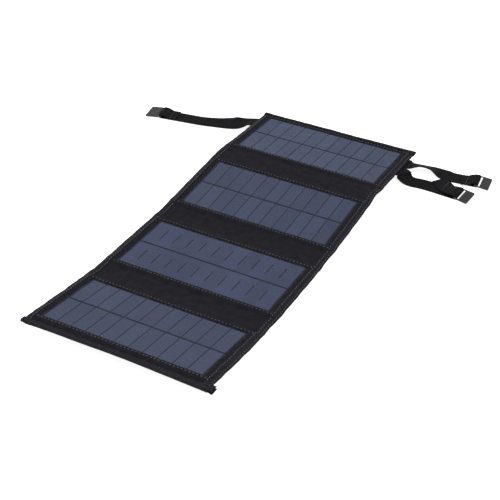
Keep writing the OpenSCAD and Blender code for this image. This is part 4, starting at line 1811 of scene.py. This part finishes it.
@dataclass
class HookPlate:
    """A moulded plate with a slotted end that the webbing turns round."""

    name: str
    body: str
    eye: bool
    finishes: Finishes
    web_w: float = 28.0 * MM
    slot_fit: float = 0.8 * MM
    arm: float = 1.5 * MM
    bar_r: float = 1.6 * MM
    slot_end: float = 6.0 * MM
    plate_end: float = 20.0 * MM
    thick: float = 2.6 * MM
    eye_r: float = 1.5 * MM
    eye_in: float = 10.0 * MM
    round_r: float = 0.8 * MM
    frame_thin: float = 0.2 * MM
    frame_lap: float = 3.0 * MM
    frame_corner: float = 1.2 * MM
    slot_corner: float = 0.9 * MM
    end_corner: float = 2.2 * MM

    def loop(self, x0: float, x1: float, half: float, radius: float, grow: float) -> Array:
        """A round-cornered rectangle, anticlockwise, grown outwards.

        Args:
            x0: its near side.
            x1: its far side.
            half: half its width.
            radius: its corners' radius.
            grow: how far it is grown; negative shrinks it.

        Returns:
            Points of four quarter circles, n by 2.
        """
        turn = np.linspace(0.0, math.pi / 2.0, 8)
        reach = max(radius + grow, 0.05 * MM)
        xs, ys = (x1 - radius, x0 + radius, x0 + radius, x1 - radius), (half - radius, radius - half)
        corners = [
            np.stack([xs[k] + reach * np.cos(turn + k * math.pi / 2.0),
                      ys[k // 2] + reach * np.sin(turn + k * math.pi / 2.0)], axis=-1)
            for k in range(4)
        ]
        return np.concatenate(corners)

    def edge_rows(self, thick: float) -> tuple[Array, Array]:
        """A rounded edge.

        Args:
            thick: how thick the plate is there.

        Returns:
            How far the edge is drawn in and its height, from bottom to top.
        """
        turn = np.linspace(-math.pi / 2.0, 0.0, 5)
        drawn = self.round_r * (1.0 - np.cos(turn))
        height = self.round_r * (1.0 + np.sin(turn)) - thick / 2.0
        return np.concatenate([drawn, drawn[::-1]]), np.concatenate([height, -height[::-1]])

    def ring(self, outer: tuple[float, ...], inner: tuple[float, ...], thick: float) -> tuple[Array, Array]:
        """A flat ring between two round-cornered rectangles, with rounded edges.

        Its section goes up the outer edge and down the inner one, so the
        surface is a closed grid both ways.

        Args:
            outer: near side, far side, half width and corner radius.
            inner: the same for the hole.
            thick: the ring's thickness.

        Returns:
            Points and faces in the plate's own plane.
        """
        drawn, height = self.edge_rows(thick)
        rows = [self.loop(*outer, -d) for d in drawn] + [self.loop(*inner, d) for d in drawn[::-1]]
        heights = np.concatenate([height, height[::-1]])
        flat = np.stack(rows)
        points = raised(flat, heights)
        faces = grid_quads(len(rows), flat.shape[1], wrap=True)
        last = (len(rows) - 1) * flat.shape[1]
        i = np.arange(flat.shape[1])
        k = (i + 1) % flat.shape[1]
        close = np.stack([last + i, i, k, last + k], axis=-1)
        return points.reshape(-1, 3), np.vstack([faces, close])[:, ::-1]

    def slab(self, outer: tuple[float, ...], thick: float) -> tuple[Array, Array, Array]:
        """A flat slab with rounded edges, closed by two flat faces.

        Args:
            outer: near side, far side, half width and corner radius.
            thick: the slab's thickness.

        Returns:
            Points, the edge's faces and the two flat faces.
        """
        drawn, height = self.edge_rows(thick)
        flat = np.stack([self.loop(*outer, -d) for d in drawn])
        points = raised(flat, height)
        count = flat.shape[1]
        caps = np.stack([np.arange(count)[::-1], np.arange(count) + (len(drawn) - 1) * count])
        return points.reshape(-1, 3), grid_quads(len(drawn), count, wrap=True)[:, ::-1], caps

    def build(self) -> None:
        """Builds the plate in its own plane and leans it from the bar to the ground.

        A frame round the slot laps into a tongue, which is a ring round the eye
        or a plain slab.
        """
        half = self.web_w / 2.0 + self.slot_fit + self.arm
        rim = (-self.bar_r, self.slot_end + self.frame_lap, half, self.frame_corner)
        slot = (self.bar_r, self.slot_end, half - self.arm, self.slot_corner)
        points, faces = self.ring(rim, slot, self.thick - self.frame_thin)
        groups = [faces]
        tongue = (self.slot_end + 0.1 * MM, self.plate_end, half, self.end_corner)
        if self.eye:
            centre = self.plate_end - self.eye_in
            hole = (centre - self.eye_r, centre + self.eye_r, self.eye_r, self.eye_r - 0.01 * MM)
            more, quads = self.ring(tongue, hole, self.thick)
        else:
            more, quads, caps = self.slab(tongue, self.thick)
            groups.append(caps + len(points))
        groups.append(quads + len(points))
        points = np.vstack([points, more])
        bar, way = hook_bar(self.body)
        lean = math.asin((bar[2] - self.thick / 2.0) / self.plate_end)
        out = way * math.cos(lean) - np.array([0.0, 0.0, math.sin(lean)])
        left = np.array([-way[1], way[0], 0.0])
        normal = np.cross(out, left)
        placed = bar + points[:, :1] * out + points[:, 1:2] * left + points[:, 2:] * normal
        piece = settle(mesh_piece(self.name + "_moulding", placed, groups), 50.0)
        finish_piece(piece, self.finishes.hook)
        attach(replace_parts(piece, self.name), self.body)


def straps(blanket: Blanket, finishes: Finishes) -> list[Strap]:
    """The three straps, as they lie.

    Args:
        blanket: the strip that they are sewn to.
        finishes: the shared materials.

    Returns:
        The left strap and the two right ones.
    """
    middle, lie = blanket.panels[1].middle[0], 0.75
    lower = middle + 7.3 * MM
    upper = lower + 29.0 * MM
    left_rows = (
        (12.5, -0.8, 8.2, 4), (19.5, -3.3, 6.6, 0), (30.5, -9.3, 5.2, -14), (43.5, -13.8, 3.2, -10),
        (61.5, -19, 1.6, -4), (88.5, -26, lie, 0), (116.5, -30.8, lie, 0),
    )
    upper_rows = (
        (11.5, 2, 9.6, -16), (18.5, 5, 9.8, -22), (29.5, 9, 8.4, -22), (40.5, 13, 4.6, -12),
        (53.5, 14, lie, 0), (68.5, 12.3, lie, 0), (85.5, 14.3, lie, 0),
    )
    lower_rows = (
        (10.5, -2.5, 6.4, 3), (16.5, -3.5, 3.2, 3), (24.5, -2.5, 1, 0),
        (37.5, -0.5, lie, 0), (55.5, -0.5, lie, 0), (74, -1.7, lie, 0),
    )
    shared = {"blanket": blanket, "finishes": finishes}
    return [
        Strap("strap_left", "left_hook", Side.LEFT, upper, left_rows, (26, 0), **shared),
        Strap("strap_right_upper", "right_upper_hook", Side.RIGHT, upper, upper_rows, (24, -5), **shared),
        Strap("strap_right_lower", "right_lower_hook", Side.RIGHT, lower, lower_rows, (40, 24), **shared),
    ]


# -------------------------------------------------------------------- studio


@dataclass
class Studio:
    """A pale floor, soft lights and the camera."""

    target: tuple[float, float, float] = (0.0386, 0.0338, 0.01930)
    distance: float = 1.5704
    elevation: float = 34.23
    azimuth: float = 27.03
    roll: float = 1.8
    lens: float = 85.07
    sky: float = 0.5
    glow: float = 0.85

    def camera(self) -> None:
        """Aims the camera: it looks at the target from an azimuth and an elevation, rolled a little."""
        a, e, r = (math.radians(v) for v in (self.azimuth, self.elevation, self.roll))
        back = Vector((math.sin(a) * math.cos(e), -math.cos(a) * math.cos(e), math.sin(e)))
        right = Vector((math.cos(a), math.sin(a), 0.0))
        up = back.cross(right)
        tipped = right * math.cos(r) + up * math.sin(r)
        data = bpy.data.cameras.new("camera")
        data.lens = self.lens
        data.sensor_width = 36.0
        data.clip_start, data.clip_end = 0.05, 60.0
        camera = bpy.data.objects.new("camera", data)
        bpy.context.scene.collection.objects.link(camera)
        axes = Matrix((tipped, back.cross(tipped), back)).transposed()
        camera.matrix_world = Matrix.Translation(Vector(self.target) + back * self.distance) @ axes.to_4x4()
        bpy.context.scene.camera = camera

    def lamp(self, name: str, place: Sequence[float], size: float, power: float) -> None:
        """A square soft light that faces the object.

        Args:
            name: the light's name.
            place: where it hangs.
            size: its side.
            power: watts.
        """
        data = bpy.data.lights.new(name, "AREA")
        data.size = size
        data.energy = power
        lamp = bpy.data.objects.new(name, data)
        bpy.context.scene.collection.objects.link(lamp)
        lamp.location = place
        lamp.rotation_euler = (Vector(self.target) - Vector(place)).to_track_quat("-Z", "Y").to_euler()

    def floor(self) -> None:
        """A wide level floor with a barely mottled pale paint."""
        side, drop = 8.0, -0.0006
        corners = np.array([[-1, -1], [1, -1], [1, 1], [-1, 1]]) * side
        points = np.column_stack([corners, np.full(4, drop)])
        floor = mesh_piece("floor", points, [np.array([[0, 1, 2, 3]])])
        desk = Desk("pale_floor")
        clouds = desk.noise(desk.place(), 6.0, 2.0)
        desk.surface(
            Base_Color=desk.tone(clouds, (0.93, 0.93, 0.93), (0.95, 0.95, 0.95)), Roughness=0.9,
            Specular_IOR_Level=0.05, Emission_Color=(1.0, 1.0, 1.0, 1.0), Emission_Strength=self.glow,
        )
        floor.data.materials.append(desk.material)

    def build(self) -> None:
        """Sets up the sky, the lights, the floor and the camera."""
        world = bpy.data.worlds.new("studio")
        world.use_nodes = True
        shade = world.node_tree.nodes["Background"]
        shade.inputs["Color"].default_value = (1.0, 1.0, 1.0, 1.0)
        shade.inputs["Strength"].default_value = self.sky
        bpy.context.scene.world = world
        bpy.context.scene.view_settings.view_transform = "Standard"
        self.lamp("key", (-1.3, 0.6, 2.6), 1.6, 36.0)
        self.lamp("fill", (1.6, -1.0, 2.2), 1.8, 14.0)
        self.floor()
        self.camera()


def main() -> None:
    """Builds the studio and every sub-assembly in order."""
    logging.basicConfig(level=logging.INFO, format="%(name)s: %(message)s")
    Studio().build()
    finishes = Finishes()
    blanket = Blanket()
    SewnStrip(blanket, finishes).build()
    SolarFaces(blanket, finishes).build()
    Pouch(blanket, finishes).build()
    for strap in straps(blanket, finishes):
        strap.build()
    long_plate = {"slot_end": 5.0 * MM, "plate_end": 25.0 * MM}
    HookPlate("hook_plate_left", "left_hook", True, finishes, **long_plate).build()
    HookPlate("hook_plate_right_upper", "right_upper_hook", False, finishes).build()
    HookPlate("hook_plate_right_lower", "right_lower_hook", False, finishes).build()


if __name__ == "__main__":
    main()
